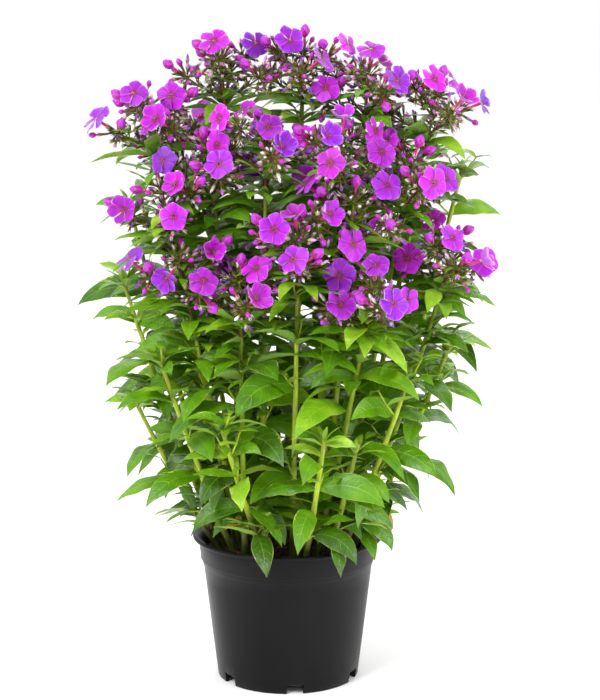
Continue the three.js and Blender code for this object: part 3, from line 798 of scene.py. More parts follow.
class Weave:
    """A mesh in the making.

    Each point has a mark, which says where on its part it lies, and a tint, which says how that part
    differs from the others of its kind.
    """

    SHARP_ANGLE = 62

    def __init__(self) -> None:
        """Starts with nothing."""
        self.points: list[Points] = []
        self.marks: list[Points] = []
        self.tints: list[Points] = []
        self.faces: list[Points] = []
        self.finishes: list[Points] = []
        self.count = 0

    def add(self, points: Points, marks: Points, tint: Triple) -> Points:
        """Adds points.

        Args:
            points: The points, in rows or grids.
            marks: Their marks, or one for all.
            tint: Their tint.

        Returns:
            Their numbers, in the same rows or grids.
        """
        flat = points.reshape(-1, 3)
        self.points.append(flat)
        self.marks.append(np.broadcast_to(marks, points.shape).reshape(-1, 3))
        self.tints.append(np.broadcast_to(np.array(tint, float), flat.shape))
        numbers = np.arange(self.count, self.count + len(flat)).reshape(points.shape[:-1])
        self.count += len(flat)
        return numbers

    def knit(self, grid: Points, finish: Enum, is_round: bool = False) -> None:
        """Adds faces between the rows and columns of a grid of point numbers.

        Args:
            grid: The numbers. Columns turn into rows anticlockwise, seen from outside.
            finish: The finish of the faces.
            is_round: Whether the last column joins the first.
        """
        if is_round:
            grid = np.concatenate([grid, grid[:, :1]], 1)
        a, b, c, d = grid[:-1, :-1], grid[:-1, 1:], grid[1:, 1:], grid[1:, :-1]
        faces = np.concatenate([np.stack([a, b, c], -1), np.stack([a, c, d], -1)]).reshape(-1, 3)
        whole = (faces != np.roll(faces, 1, 1)).all(1)
        self.faces.append(faces[whole])
        self.finishes.append(np.full(whole.sum(), finish.value))

    def knit_closed(self, grid: Points, ends: Points, finish: Enum) -> None:
        """Adds the faces of a round grid of point numbers, and the fans that close it with its end points."""
        first, last = (np.full((1, grid.shape[1]), end) for end in ends)
        self.knit(np.concatenate([first, grid, last]), finish, is_round=True)

    def triangles(self, a: Points, b: Points, c: Points, finish: Enum) -> None:
        """Adds faces between three rows of point numbers, which run anticlockwise seen from outside."""
        self.faces.append(np.stack([a, b, c], -1).reshape(-1, 3))
        self.finishes.append(np.full(a.size, finish.value))

    def tube(
        self,
        path: Points,
        radii: Points,
        sides: int,
        finish: Enum,
        tint: Triple = (0, 0, 0),
        side: Points | None = None,
        wave: Points | float = 1.0,
    ) -> None:
        """Adds a closed round tube along a path.

        Args:
            path: The points of its centreline.
            radii: Its radius at each; 0 at an end makes a point.
            sides: How many sides it has.
            finish: Its finish.
            tint: Its tint. Its mark is the share of the way along and the wave.
            side: The way that its first corner leans.
            wave: Shares of the radius, for each ring and corner.
        """
        along = unit(np.gradient(path, axis=0))
        across, over = square_to(along, ASIDE if side is None else side)
        spokes = rays(across[:, None], over[:, None], full_turn(sides))
        reach = np.broadcast_to(radii[:, None] * wave, (len(path), sides))
        marks = np.zeros((len(path), sides, 3))
        marks[..., 0] = np.linspace(0, 1, len(path))[:, None]
        marks[..., 1] = wave
        grid = self.add(path[:, None] + spokes * reach[..., None], marks, tint)
        self.knit_closed(grid, self.add(path[[0, -1]], marks[[0, -1], 0], tint), finish)

    def sheet(self, top: Points, under: Points, marks: Points, tint: Triple, finish: Enum) -> None:
        """Adds a thin closed sheet, its two faces joined round the rim.

        Args:
            top: The grid of the upper face, rows outwards to a pointed tip, columns from left to right.
            under: The grid of the lower face.
            marks: The mark of each point on the upper face; on the lower, the third value is 1.
            tint: The sheet's tint.
            finish: Its finish.
        """
        upper = self.add(top, marks, tint)
        under_marks = marks.copy()
        under_marks[..., 2] = 1
        lower = upper.copy()
        lower[1:-1, 1:-1] = self.add(under[1:-1, 1:-1], under_marks[1:-1, 1:-1], tint)
        upper[-1] = lower[-1] = upper[-1, top.shape[1] // 2]
        self.knit(upper, finish)
        self.knit(lower[:, ::-1], finish)

    def build(self, name: str, materials: list[Material], axis: Points) -> bpy.types.Object:
        """Makes the finished object.

        Args:
            name: Its name.
            materials: The materials that the numbers of the finishes stand for.
            axis: Where the pot's axis meets the ground, in metres.

        Returns:
            An object with one mesh, in metres.
        """
        points, faces = np.concatenate(self.points), np.concatenate(self.faces)
        finishes = np.concatenate(self.finishes)
        used, place = np.unique(faces, return_inverse=True)
        kinds, numbers = np.unique(finishes, return_inverse=True)
        mesh = bpy.data.meshes.new(name)
        mesh.from_pydata((points[used] / 1000 + axis).tolist(), [], place.reshape(-1, 3).tolist())
        for kind in kinds:
            mesh.materials.append(materials[kind])
        mesh.polygons.foreach_set("material_index", numbers.astype(np.int32))
        mesh.polygons.foreach_set("use_smooth", np.ones(len(faces), bool))
        for word, values in (("mark", self.marks), ("tint", self.tints)):
            attribute = mesh.attributes.new(word, "FLOAT_VECTOR", "POINT")
            rows = np.concatenate(values)[used].astype(np.float32)
            attribute.data.foreach_set("vector", rows.ravel())
        mesh.set_sharp_from_angle(angle=math.radians(self.SHARP_ANGLE))
        mesh.update()
        made = bpy.data.objects.new(name, mesh)
        bpy.context.scene.collection.objects.link(made)
        return made


# ---- the plant's parts


def bent(start: Points, end: Points, sag: Points, places: int) -> Points:
    """Points of a curve from a start to an end that bows by a sag at its middle."""
    shares = np.linspace(0, 1, places)[:, None]
    return start + (end - start) * shares + sag * (4 * shares * (1 - shares))


@dataclass(frozen=True)
class BladeForm:
    """The fine form of one leaf's blade, over the leaf that the growth rules place."""

    rows: int = 17
    columns: int = 7
    thickness: float = 0.55
    midrib: float = 0.9
    veins: float = 7
    quilt: float = 0.012
    slimness: float = 0.87

    def weave(self, weave: Weave, leaf: Leaf, tone: float, age: float, random: Random) -> None:
        """Adds the blade, folded along its midrib, gently waved at the edges and drawn out to a long tip.

        Args:
            weave: The mesh that takes it.
            leaf: The leaf's place.
            tone: From 0, a dark full-grown leaf, to 1, a pale young one.
            age: From 0, green, to 1, yellow and dying.
            random: The draws for its wave and fold.
        """
        shares = np.linspace(0, 1, self.rows) ** 1.05
        sides = np.linspace(-1, 1, self.columns)
        centre, _, across, upper = leaf.midrib(shares)
        half = leaf.half_width(shares)
        half = half * self.slimness * (1 - 0.3 * shares**6)
        half[-1] = 0
        s, v = shares[:, None], sides[None]
        fold, arch = LEAF.fold * random.uniform(0.7, 1.5), random.uniform(0, 0.42)
        phase = random.uniform(0, 2 * math.pi, 2)
        waves = random.uniform(1.6, 2.8)
        ripple = np.sin(waves * 2 * math.pi * s + np.where(v < 0, *phase))
        lift = fold * np.abs(v) ** 1.1 - arch * v**2 + random.uniform(0.05, 0.16) * ripple * v**2
        inside = (1 - v**2) * np.minimum(1, 4 * np.abs(v))
        quilt = self.quilt * np.cos(2 * math.pi * self.vein_phase(s, v)) * inside
        spread = v * (1 - 0.12 * fold * np.abs(v))
        top = centre[:, None] + across[:, None] * (half[:, None] * spread)[..., None]
        top = top + upper[:, None] * (half[:, None] * (lift - quilt))[..., None]
        body = np.minimum(1, half / 3)[:, None] * self.thickness * (1 - v**2) ** 0.5
        rib = self.midrib * (1 - 0.8 * s) * np.exp(-((v * half[:, None] / 0.9) ** 2)) * (s < 0.97)
        under = top - upper[:, None] * (body + rib)[..., None]
        marks = np.stack([self.vein_phase(s, v), np.broadcast_to(v, body.shape), np.zeros_like(body)], -1)
        weave.sheet(top[:, ::-1], under[:, ::-1], marks[:, ::-1], (tone, random.random(), age), Finish.LEAF)

    def vein_phase(self, s: Points, v: Points) -> Points:
        """A number that is whole on each side vein. They leave the midrib at a slant and arch forwards."""
        return self.veins * (s**0.9 - 0.16 * np.abs(v) ** 1.3) + 0 * v


@dataclass
class LeafyStem:
    """A round stem, thicker where a pair of leaves stands, with its leaves, side shoots and young tip."""

    shoot: Shoot
    blade: BladeForm = BladeForm()
    sides: int = 8
    ring_spacing: float = 8
    slimness: float = 0.88
    node_swelling: float = 0.2
    young: BladeForm = BladeForm(rows=8, columns=5, thickness=0.4, midrib=0.5)
    young_leaves: int = 4
    side_shoots: float = 0.48
    lowest_side_shoot: float = 142
    low_spacing: float = 34
    low_growth: float = 1.5
    side_length: tuple[float, float] = (12, 34)
    side_leaf: tuple[float, float] = (38, 24)
    side_leaf_width: float = 0.36
    upper_pairs: int = 6
    upper_start: float = 0.78
    upper_reach: float = 0.19
    upper_leaf: tuple[float, float] = (62, 44)
    upper_leaf_width: float = 0.35
    young_leaf_width: float = 0.3
    old_leaves_below: float = 175
    old_share: float = 0.16

    def __post_init__(self) -> None:
        """Starts the mesh and the draws."""
        self.mesh = Weave()
        self.random = np.random.default_rng(100 + self.shoot.number)

    def weave(self) -> Weave:
        """Builds the stem and its leaves.

        Returns:
            Their mesh.
        """
        shoot, random = self.shoot, self.random
        reach = shoot.top[2] - shoot.foot[2]
        shares = np.linspace(0, 1, round(reach / self.ring_spacing))
        radii = between(STEM.foot_radius, STEM.tip_radius, shares) * self.slimness
        for pair in range(shoot.plan.pairs):
            off = (shares - shoot.pair_share(pair)) * reach
            radii = radii * (1 + self.node_swelling * np.exp(-((off / 5) ** 2)))
        tint = (random.random(), random.random(), 0)
        self.mesh.tube(shoot.points(shares), radii, self.sides, Finish.STEM, tint)
        for leaf in shoot.leaves:
            self.grown_leaf(leaf)
            if leaf.root[2] > self.lowest_side_shoot and random.random() < self.side_shoots:
                self.side_shoot(leaf.root, leaf.azimuth)
        for height in np.arange(self.lowest_side_shoot, shoot.plan.lowest, self.low_spacing):
            root = shoot.points((height - shoot.foot[2]) / reach)
            self.side_shoot(root, random.uniform(0, 360), self.low_growth)
        self.rosette()
        if shoot.is_flowering:
            self.upper_leaves()
        return self.mesh

    def grown_leaf(self, leaf: Leaf) -> None:
        """Adds a grown leaf, darker low down and paler high up. A few of the lowest have turned yellow.

        Args:
            leaf: Its place.
        """
        random = self.random
        tone = float(np.clip(0.13 + 0.42 * leaf.height + random.normal(0, 0.17), 0, 1))
        is_low = leaf.pair == 0 and leaf.root[2] < self.old_leaves_below
        is_old = is_low and random.random() < self.old_share
        self.blade.weave(self.mesh, leaf, tone, random.uniform(0.6, 1) if is_old else 0, random)

    def side_shoot(self, root: Points, turn: float, growth: float = 1) -> None:
        """Adds a short shoot with two pairs of small leaves.

        Args:
            root: Where it leaves the stem.
            turn: The way that it leaves, in degrees.
            growth: Its leaves' size, as a share of the usual.
        """
        random = self.random
        way = heading(turn + random.uniform(-25, 25), random.uniform(42, 68))
        length = random.uniform(*self.side_length)
        path = bent(root, root + way * length, np.array((0, 0, -1.5)), 5)
        self.mesh.tube(path, np.linspace(1.1, 0.7, 5), 6, Finish.STEM, (0.8, random.random(), 0))
        for pair in range(2):
            size = between(*self.side_leaf, pair) * random.uniform(0.75, 1.2) * growth
            width = size * self.side_leaf_width
            for side in (90 * pair, 90 * pair + 180):
                azimuth = turn + 90 + side + random.uniform(-20, 20)
                rise, fall = random.uniform(20, 50), random.uniform(-35, 5)
                place = (path[2 + 2 * pair], pair, 0, size, width, azimuth, rise, fall)
                small = Leaf(*place, random.uniform(-25, 25))
                self.young.weave(self.mesh, small, random.uniform(0.35, 0.9), 0, random)

    def rosette(self) -> None:
        """Adds the young leaves round the shoot's end."""
        shoot, random = self.shoot, self.random
        pairs = 1 if shoot.is_flowering else self.young_leaves
        for pair in range(pairs):
            share = 0.985 if shoot.is_flowering else 1 - 0.012 * (pairs - pair)
            for side in (pair % 2, pair % 2 + 2):
                length = (30 if shoot.is_flowering else 34 - 6 * pair) * random.uniform(0.85, 1.15)
                width = length * self.young_leaf_width
                azimuth = shoot.turn + 90 * side + 45 + random.uniform(-15, 15)
                rise = 40 + 10 * pair + random.uniform(-8, 8)
                fall = -10 + 14 * pair + random.uniform(-10, 10)
                place = (shoot.points(share), pair, side, length, width, azimuth, rise, fall)
                small = Leaf(*place, random.uniform(-12, 12))
                self.young.weave(self.mesh, small, random.uniform(0.6, 0.95), 0, random)

    def upper_leaves(self) -> None:
        """Adds the small leaves that stand in pairs below the head."""
        shoot, random = self.shoot, self.random
        for pair in range(self.upper_pairs):
            share = self.upper_start + self.upper_reach * pair / (self.upper_pairs - 1)
            turn = shoot.turn + 45 + 90 * (pair % 2) + random.uniform(-20, 20)
            for azimuth in (turn, turn + 180):
                usual = between(*self.upper_leaf, pair / (self.upper_pairs - 1))
                length = usual * random.uniform(0.8, 1.15)
                width = length * self.upper_leaf_width
                rise, fall = random.uniform(15, 50), random.uniform(-50, 0)
                place = (shoot.points(share), pair, 0, length, width, azimuth, rise, fall)
                small = Leaf(*place, random.uniform(-35, 35))
                self.young.weave(self.mesh, small, random.uniform(0.1, 0.65), 0, random)


@dataclass(frozen=True)
class OpenFlower:
    """A phlox flower: five broad lobes, each with one edge over its neighbour, on a slender tube."""

    lobes: int = 5
    spread: float = 1.03
    rows: int = 10
    columns: int = 7
    overlap: float = 0.74
    half_open: float = 0.2
    throat: float = 1.3
    thickness: float = 0.28
    tube_radius: float = 1.25
    tube_rings: int = 9
    tube_sides: int = 8
    throat_depth: float = 2.2
    ajar: tuple[float, float] = (0.35, 0.7)

    def weave(self, weave: Weave, bloom: Bloom, tone: float, random: Random) -> None:
        """Adds the flower with its tube, throat and anthers.

        Args:
            weave: The mesh that takes it.
            bloom: Its place.
            tone: Its hue, from 0, pink, to 1, violet.
            random: The draws for its size, poise and bends.
        """
        across, over = square_to(bloom.face, bloom.side)
        radius = BLOOM.flower_radius * self.spread * bloom.size * random.uniform(0.9, 1.03)
        is_ajar = random.random() < self.half_open
        poise = random.uniform(*self.ajar) if is_ajar else random.normal(0, 0.07)
        shade = random.random()
        for lobe in range(self.lobes):
            outwards = rays(across, over, (lobe + 0.5) / self.lobes * 2 * math.pi)
            self.lobe(weave, bloom, outwards, radius, poise, (tone, random.random(), shade), random)
        self.tube(weave, bloom, tone)
        for turn in random.uniform(0, 2 * math.pi, 2):
            foot = bloom.mouth + rays(across, over, turn) * 0.4 - bloom.face * 1.5
            path = foot + np.outer(np.linspace(0, 1.4, 3), bloom.face)
            weave.tube(path, np.array((0.1, 0.36, 0.1)), 5, Finish.ANTHER)

    def lobe(
        self,
        weave: Weave,
        bloom: Bloom,
        outwards: Points,
        radius: float,
        poise: float,
        tint: Triple,
        random: Random,
    ) -> None:
        """Adds one lobe, which broadens from the throat and ends in a wide round edge.

        Args:
            weave: The mesh that takes it.
            bloom: Its flower's place.
            outwards: The way that the lobe points.
            radius: The flower's radius.
            poise: How far the flower's lobes bend forwards, as a share of the radius.
            tint: The flower's hue, the lobe's own brightness and the flower's brightness.
            random: The draws for its bends.
        """
        sideways = np.cross(bloom.face, outwards)
        s = 1 - (1 - np.linspace(0, 1, self.rows)[:, None]) ** 2
        q = np.linspace(-1, 1, self.columns)[None]
        reach = radius * random.uniform(0.96, 1.02) * math.sqrt(1 - 0.8 * max(0, poise) ** 2)
        away = self.throat + (reach - self.throat) * s * (1 - 0.13 * q**2 * s**2)
        half = self.overlap * random.uniform(0.95, 1.05) * (0.84 + 0.16 * s) * (1 - s**13) ** 0.4
        turn = q * half
        droop = random.normal(0, 0.05)
        cup = random.normal(-0.05, 0.05)
        slant = random.normal(0.12, 0.025)
        height = 0.07 * s - (0.12 + droop - poise) * s**2 + cup * q**2 * s + slant * q * s
        crease = -0.02 * np.exp(-((q / 0.3) ** 2)) * s * (1 - s)
        frill = 0.03 * np.sin(random.uniform(3, 7) * q + random.uniform(0, 6)) * s**2
        plane = (np.cos(turn) * away)[..., None] * outwards + (np.sin(turn) * away)[..., None] * sideways
        rise = (radius * (height + crease * 4 + frill))[..., None] * bloom.face
        top = bloom.mouth + plane + rise
        body = self.thickness * np.sqrt(np.maximum(0, 1 - q**2)) * np.minimum(1, 4 * (1 - s) + 0.2)
        under = top - body[..., None] * bloom.face
        marks = np.stack([s + 0 * q, q + 0 * s, np.zeros_like(turn)], -1)
        weave.sheet(top, under, marks, tint, Finish.PETAL)

    def tube(self, weave: Weave, bloom: Bloom, tone: float) -> None:
        """Adds the tube, from inside its calyx to the lobes, with a small open throat.

        Args:
            weave: The mesh that takes it.
            bloom: Its flower's place.
            tone: The flower's hue.
        """
        rings, depth = self.tube_rings, self.throat_depth
        end = bloom.mouth - bloom.face * 0.4
        path = bent(bloom.root + bloom.direction * 5, end, (bloom.direction - bloom.face) * 0.8, rings)
        radii = np.linspace(self.tube_radius, self.tube_radius * 1.2, rings)
        radii[-1] = self.throat + 0.12
        inner = np.array([end, end - bloom.face * depth * 0.5, end - bloom.face * depth])
        along = np.concatenate([np.gradient(path, axis=0), np.repeat(bloom.face[None], len(inner), 0)])
        path = np.concatenate([path, inner + bloom.face * 0.1])
        across, over = square_to(unit(along), bloom.side)
        radii = np.concatenate([radii, (self.throat - 0.2, 0.8, 0.3)])
        spokes = rays(across[:, None], over[:, None], full_turn(self.tube_sides))
        marks = np.zeros((*spokes.shape[:2], 3))
        marks[..., 0] = np.concatenate([np.linspace(0, 1, rings), (1.3, 1.6, 2)])[:, None]
        grid = weave.add(path[:, None] + spokes * radii[:, None, None], marks, (tone, 0, 0))
        weave.knit_closed(grid, weave.add(path[[0, -1]], marks[[0, -1], 0], (tone, 0, 0)), Finish.TUBE)


@dataclass(frozen=True)
class SwollenBud:
    """A bud about to open: a twisted balloon of five furled lobes on its tube."""

    rings: int = 12
    sides: int = 15
    furrow: float = 0.26
    twist: float = 1.9

    def weave(self, weave: Weave, bloom: Bloom, tone: float, random: Random) -> None:
        """Adds the bud and its tube.

        Args:
            weave: The mesh that takes it.
            bloom: Its place.
            tone: Its hue.
            random: The draws for its brightness.
        """
        start = bloom.mouth - bloom.direction * 0.8
        radius, length = BLOOM.bud_radius * bloom.size, BLOOM.bud_length + 0.8
        self.balloon(weave, start, bloom.direction, bloom.side, radius, length, (tone, random.random(), 0))
        stalk = bent(bloom.root + bloom.direction * 4, bloom.mouth, np.zeros(3), 6)
        weave.tube(stalk, np.linspace(0.95, 1.2, 6), 6, Finish.TUBE, (tone, 0, 0), bloom.side)

    def balloon(
        self,
        weave: Weave,
        start: Points,
        direction: Points,
        side: Points,
        radius: float,
        length: float,
        tint: Triple,
    ) -> None:
        """Adds the furled lobes.

        Args:
            weave: The mesh that takes them.
            start: Where they leave the tube.
            direction: The way that they point.
            side: The way that one furrow starts.
            radius: Their radius where they are widest.
            length: Their length.
            tint: Their tint.
        """
        share = np.linspace(0, 1, self.rings)
        swell = np.sin(math.pi * share**0.94) ** 0.72
        radii = np.maximum(radius * swell, 0.23 * radius * (1 - share) + 0.05)
        path = start + np.outer(share * length, direction)
        spiral = 5 * (full_turn(self.sides)[None] + self.twist * share[:, None])
        wave = 1 - self.furrow * np.sin(math.pi * share)[:, None] * (0.5 + 0.5 * np.cos(spiral)) ** 2
        weave.tube(path, radii, self.sides, Finish.BUD, tint, side, wave)


@dataclass(frozen=True)
class Calyx:
    """A slender five-sided calyx whose teeth are drawn out to fine points, on its short stalk."""

    length: float = 10.5
    radius: float = 1.05
    tube_share: float = 0.52
    teeth: int = 5

    def weave(
        self,
        weave: Weave,
        foot: Points,
        direction: Points,
        stalk: float,
        size: float,
        tint: Triple,
        spread: float = 0.3,
    ) -> Points:
        """Adds a calyx.

        Args:
            weave: The mesh that takes it.
            foot: Where its stalk starts.
            direction: The way that it points.
            stalk: How long the stalk is.
            size: Its length as a share of a full one.
            tint: Its tint.
            spread: How far the teeth lean outwards, as a share of their length.

        Returns:
            Where its mouth is.
        """
        base = foot + direction * stalk
        height = self.length * self.tube_share * size
        weave.tube(np.array([foot, base]), np.array((0.55, 0.5)), 3, Finish.BRANCH, tint)
        path = base + np.outer(np.array((0, 0.25, 1.0)) * height, direction)
        radii = self.radius * np.array((0.5, 0.98, 1.1)) * (0.6 + 0.4 * size)
        weave.tube(path, radii, self.teeth, Finish.CALYX, tint)
        across, over = square_to(direction, ASIDE)
        mouth, reach = path[-1], self.length * size - height
        turns = full_turn(self.teeth)
        ring = rays(across, over, turns)
        leaning = rays(across, over, turns + math.pi / self.teeth)
        corners = mouth + ring * radii[-1]
        inner = mouth + leaning * radii[-1] * 0.25 + direction * 0.4
        bulge = mouth + leaning * (radii[-1] * 0.95 + spread * reach * 0.35) + direction * reach * 0.5
        tips = mouth + leaning * (radii[-1] * 0.8 + spread * reach) + direction * reach
        tooth = (*tint[:2], 1.0)
        rows = ((corners, 0.0), (inner, 0.0), (bulge, 0.5), (tips, 1.0))
        rim, inside, out, end = (weave.add(row, np.array((share, 1, 0)), tooth) for row, share in rows)
        after = np.roll(rim, -1)
        outside = (rim, after, out), (rim, out, end), (out, after, end)
        for side in (*outside, (after, inside, end), (inside, rim, end)):
            weave.triangles(*side, Finish.CALYX)
        return mouth


@dataclass(frozen=True)
class NarrowBud:
    """A young bud, furled to a point, that stands out of its calyx."""

    calyx: Calyx = Calyx()
    showing: float = 0.7

    def weave(
        self, weave: Weave, foot: Points, direction: Points, stalk: float, size: float, random: Random
    ) -> None:
        """Adds the bud with its calyx and stalk.

        Args:
            weave: The mesh that takes it.
            foot: Where its stalk starts.
            direction: The way that it points.
            stalk: How long the stalk is.
            size: Its size as a share of a full one.
            random: The draws for its form and colours.
        """
        tint = (random.random(), random.random(), 0.0)
        mouth = self.calyx.weave(weave, foot, direction, stalk, size, tint, random.uniform(0.08, 0.4))
        if random.random() < self.showing:
            reach = random.uniform(4.5, 9.5) * size
            shares = np.array((-0.2, 0.3, 0.7, 1.0))
            path = mouth + np.outer(shares * reach, direction)
            radii = np.array((0.5, 0.75, 1.0, 0.08)) * (0.8 + 0.07 * reach)
            weave.tube(path, radii, 5, Finish.BUD, (random.random(), random.random(), 1))


@dataclass(frozen=True)
class HalfGrownBud:
    """A bud at about half its size, whose tube has begun to stretch."""

    calyx: Calyx = Calyx()
    bud: SwollenBud = SwollenBud(rings=7, sides=10)

    def weave(
        self, weave: Weave, foot: Points, direction: Points, stalk: float, size: float, random: Random
    ) -> None:
        """Adds the bud with its calyx, stalk and tube.

        Args:
            weave: The mesh that takes it.
            foot: Where its stalk starts.
            direction: The way that it points.
            stalk: How long the stalk is.
            size: Its size as a share of a full one.
            random: The draws for its form and colours.
        """
        tint = (random.random(), random.random(), 0.0)
        mouth = self.calyx.weave(weave, foot, direction, stalk, size, tint, random.uniform(0.08, 0.3))
        end = mouth + direction * random.uniform(2, 8)
        path = bent(mouth - direction, end, np.zeros(3), 4)
        weave.tube(path, np.linspace(0.7, 0.95, 4), 5, Finish.TUBE, tint)
        radius = random.uniform(1.9, 3.1)
        self.bud.balloon(weave, end - direction * 0.5, direction, ASIDE, radius, radius * 2.7, tint)


@dataclass
class Head:
    """A phlox head: its axis, whorls of branches and cymes, with all that the cymes bear."""

    shoot: Shoot
    flower: OpenFlower = OpenFlower()
    bud: SwollenBud = SwollenBud()
    calyx: Calyx = Calyx(radius=1.5)
    narrow: NarrowBud = NarrowBud()
    half_grown: HalfGrownBud = HalfGrownBud()
    bract: BladeForm = BladeForm(rows=7, columns=5, thickness=0.35, midrib=0.3, veins=3)
    leafy_bract: BladeForm = BladeForm(rows=9, columns=5, thickness=0.4, midrib=0.4, veins=5)
    foot_bracts: tuple[float, int] = (54, 9)
    tier_bracts: tuple[float, int] = (36, 6)
    branch_bracts: tuple[float, int] = (20, 3)
    cyme_bracts: tuple[float, int] = (14, 3)
    cyme_buds: int = 19
    side_buds: int = 6
    bud_reach: float = 28
    bract_width: float = 0.32

    def __post_init__(self) -> None:
        """Starts the mesh and the draws, and draws the head's own tone."""
        self.mesh = Weave()
        self.random = np.random.default_rng(500 + self.shoot.number)
        self.tone = self.random.random()

    def weave(self) -> Weave:
        """Builds the whole head.

        Returns:
            Its mesh.
        """
        shoot = self.shoot
        path = bent(shoot.top - shoot.direction(1) * 2, shoot.cymes[0].centre, np.zeros(3), 8)
        self.mesh.tube(path, np.linspace(STEM.tip_radius, 1.1, 8), 8, Finish.BRANCH, (self.tone, 0, 0))
        self.bracts(path[1], self.foot_bracts, self.leafy_bract)
        for knot in shoot.axis:
            self.bracts(knot.centre, self.tier_bracts, self.leafy_bract)
            self.side_cyme(knot.centre, knot.direction)
        for cyme in shoot.cymes:
            if cyme is not shoot.cymes[0]:
                self.branch(cyme)
            self.cyme(cyme)
        return self.mesh

    def branch(self, cyme: Knot) -> None:
        """Adds a branch, bowed a little downwards, with bracts at its middle and a few buds.

        Args:
            cyme: The cyme that it ends in.
        """
        path = bent(cyme.parent.centre, cyme.centre, np.array((0, 0, -0.9)), 7)
        tint = (self.tone, self.random.random(), 0)
        self.mesh.tube(path, np.linspace(1.15, 0.85, 7), 6, Finish.BRANCH, tint)
        self.bracts(path[3], self.branch_bracts, self.bract)
        for place in (path[2], path[4]):
            self.side_cyme(place, cyme.direction)

    def side_cyme(self, centre: Points, along: Points) -> None:
        """Adds a few narrow buds round a place on a branch or on the axis.

        Args:
            centre: The place.
            along: The way that the branch or axis runs.
        """
        random = self.random
        across, over = square_to(along, heading(random.uniform(0, 360), 0))
        for index in range(self.side_buds):
            turn = index / self.side_buds * 2 * math.pi + random.uniform(-0.4, 0.4)
            way = rays(across, over, turn) + (0, 0, 0.35)
            direction = unit(along * random.uniform(0.2, 1.1) + way)
            if self.pierces(centre, centre + direction * self.bud_reach):
                continue
            stalk, size = random.uniform(3, 9), random.uniform(0.75, 1.1)
            self.narrow.weave(self.mesh, centre, direction, stalk, size, random)

    def pierces(self, start: Points, end: Points) -> bool:
        """Whether a straight way passes through one of the head's open flowers.

        Args:
            start: Where it starts.
            end: Where it ends.

        Returns:
            True where it does.
        """
        for bloom in (bloom for cyme in self.shoot.cymes for bloom in cyme.blooms if bloom.is_open):
            before, after = (start - bloom.mouth) @ bloom.face, (end - bloom.mouth) @ bloom.face
            if before * after < 0:
                meets = start + (end - start) * (before / (before - after))
                if np.linalg.norm(meets - bloom.mouth) < 1.1 * BLOOM.flower_radius:
                    return True
        return False

    def bracts(self, centre: Points, whorl: tuple[float, int], form: BladeForm) -> None:
        """Adds narrow leaves round a branching point.

        Args:
            centre: The branching point.
            whorl: Their usual length and how many they are; fewer if some would pass through a flower.
            form: Their form.
        """
        random = self.random
        length, count = whorl
        turned = random.uniform(0, 360)
        for index in range(count):
            size = length * random.uniform(0.65, 1.2)
            azimuth = turned + 360 * index / count + random.uniform(-25, 25)
            rise, fall = random.uniform(0, 50), random.uniform(-55, 10)
            width, roll = size * self.bract_width, random.uniform(-30, 30)
            leaf = Leaf(centre, 0, 0, size, width, azimuth, rise, fall, roll)
            if not self.pierces(centre, leaf.blade_points(np.ones(1), np.zeros(1))[0]):
                form.weave(self.mesh, leaf, random.uniform(0.25, 0.85), 0, random)

    def cyme(self, cyme: Knot) -> None:
        """Adds a cyme: its blooms in their calyces, and narrow buds all round between them.

        Args:
            cyme: Its place and blooms.
        """
        random = self.random
        hue = random.random() ** 1.5
        for bloom in cyme.blooms:
            own = float(np.clip(hue + random.normal(0, 0.25), 0, 1))
            tint = (self.tone, random.random(), 0)
            self.calyx.weave(self.mesh, bloom.root, bloom.direction, 2.5, 1.1, tint, 0.2)
            kind = self.flower if bloom.is_open else self.bud
            kind.weave(self.mesh, bloom, own, random)
        self.bracts(cyme.centre, self.cyme_bracts, self.bract)
        across, over = square_to(cyme.direction, heading(random.uniform(0, 360), 0))
        golden = math.pi * (3 - math.sqrt(5))
        for index in range(self.cyme_buds):
            along = 1 - 1.5 * (index + 0.5) / self.cyme_buds
            way = cyme.direction * along + rays(across, over, golden * index) * math.sqrt(1 - along**2)
            direction = unit(way + random.normal(0, 0.16, 3) + (0, 0, 0.12))
            if any(direction @ bloom.direction > 0.96 for bloom in cyme.blooms):
                continue
            if self.pierces(cyme.centre, cyme.centre + direction * self.bud_reach):
                continue
            stalk = random.uniform(1.5, 8.5)
            kind = self.half_grown if index % 6 == 2 else self.narrow
            kind.weave(self.mesh, cyme.centre, direction, stalk, random.uniform(0.75, 1.15), random)


# ---- the pot and its soil


class PotFinish(Enum):
    """The finishes of the pot and of what fills it."""

    PLASTIC = 0
    SOIL = 1


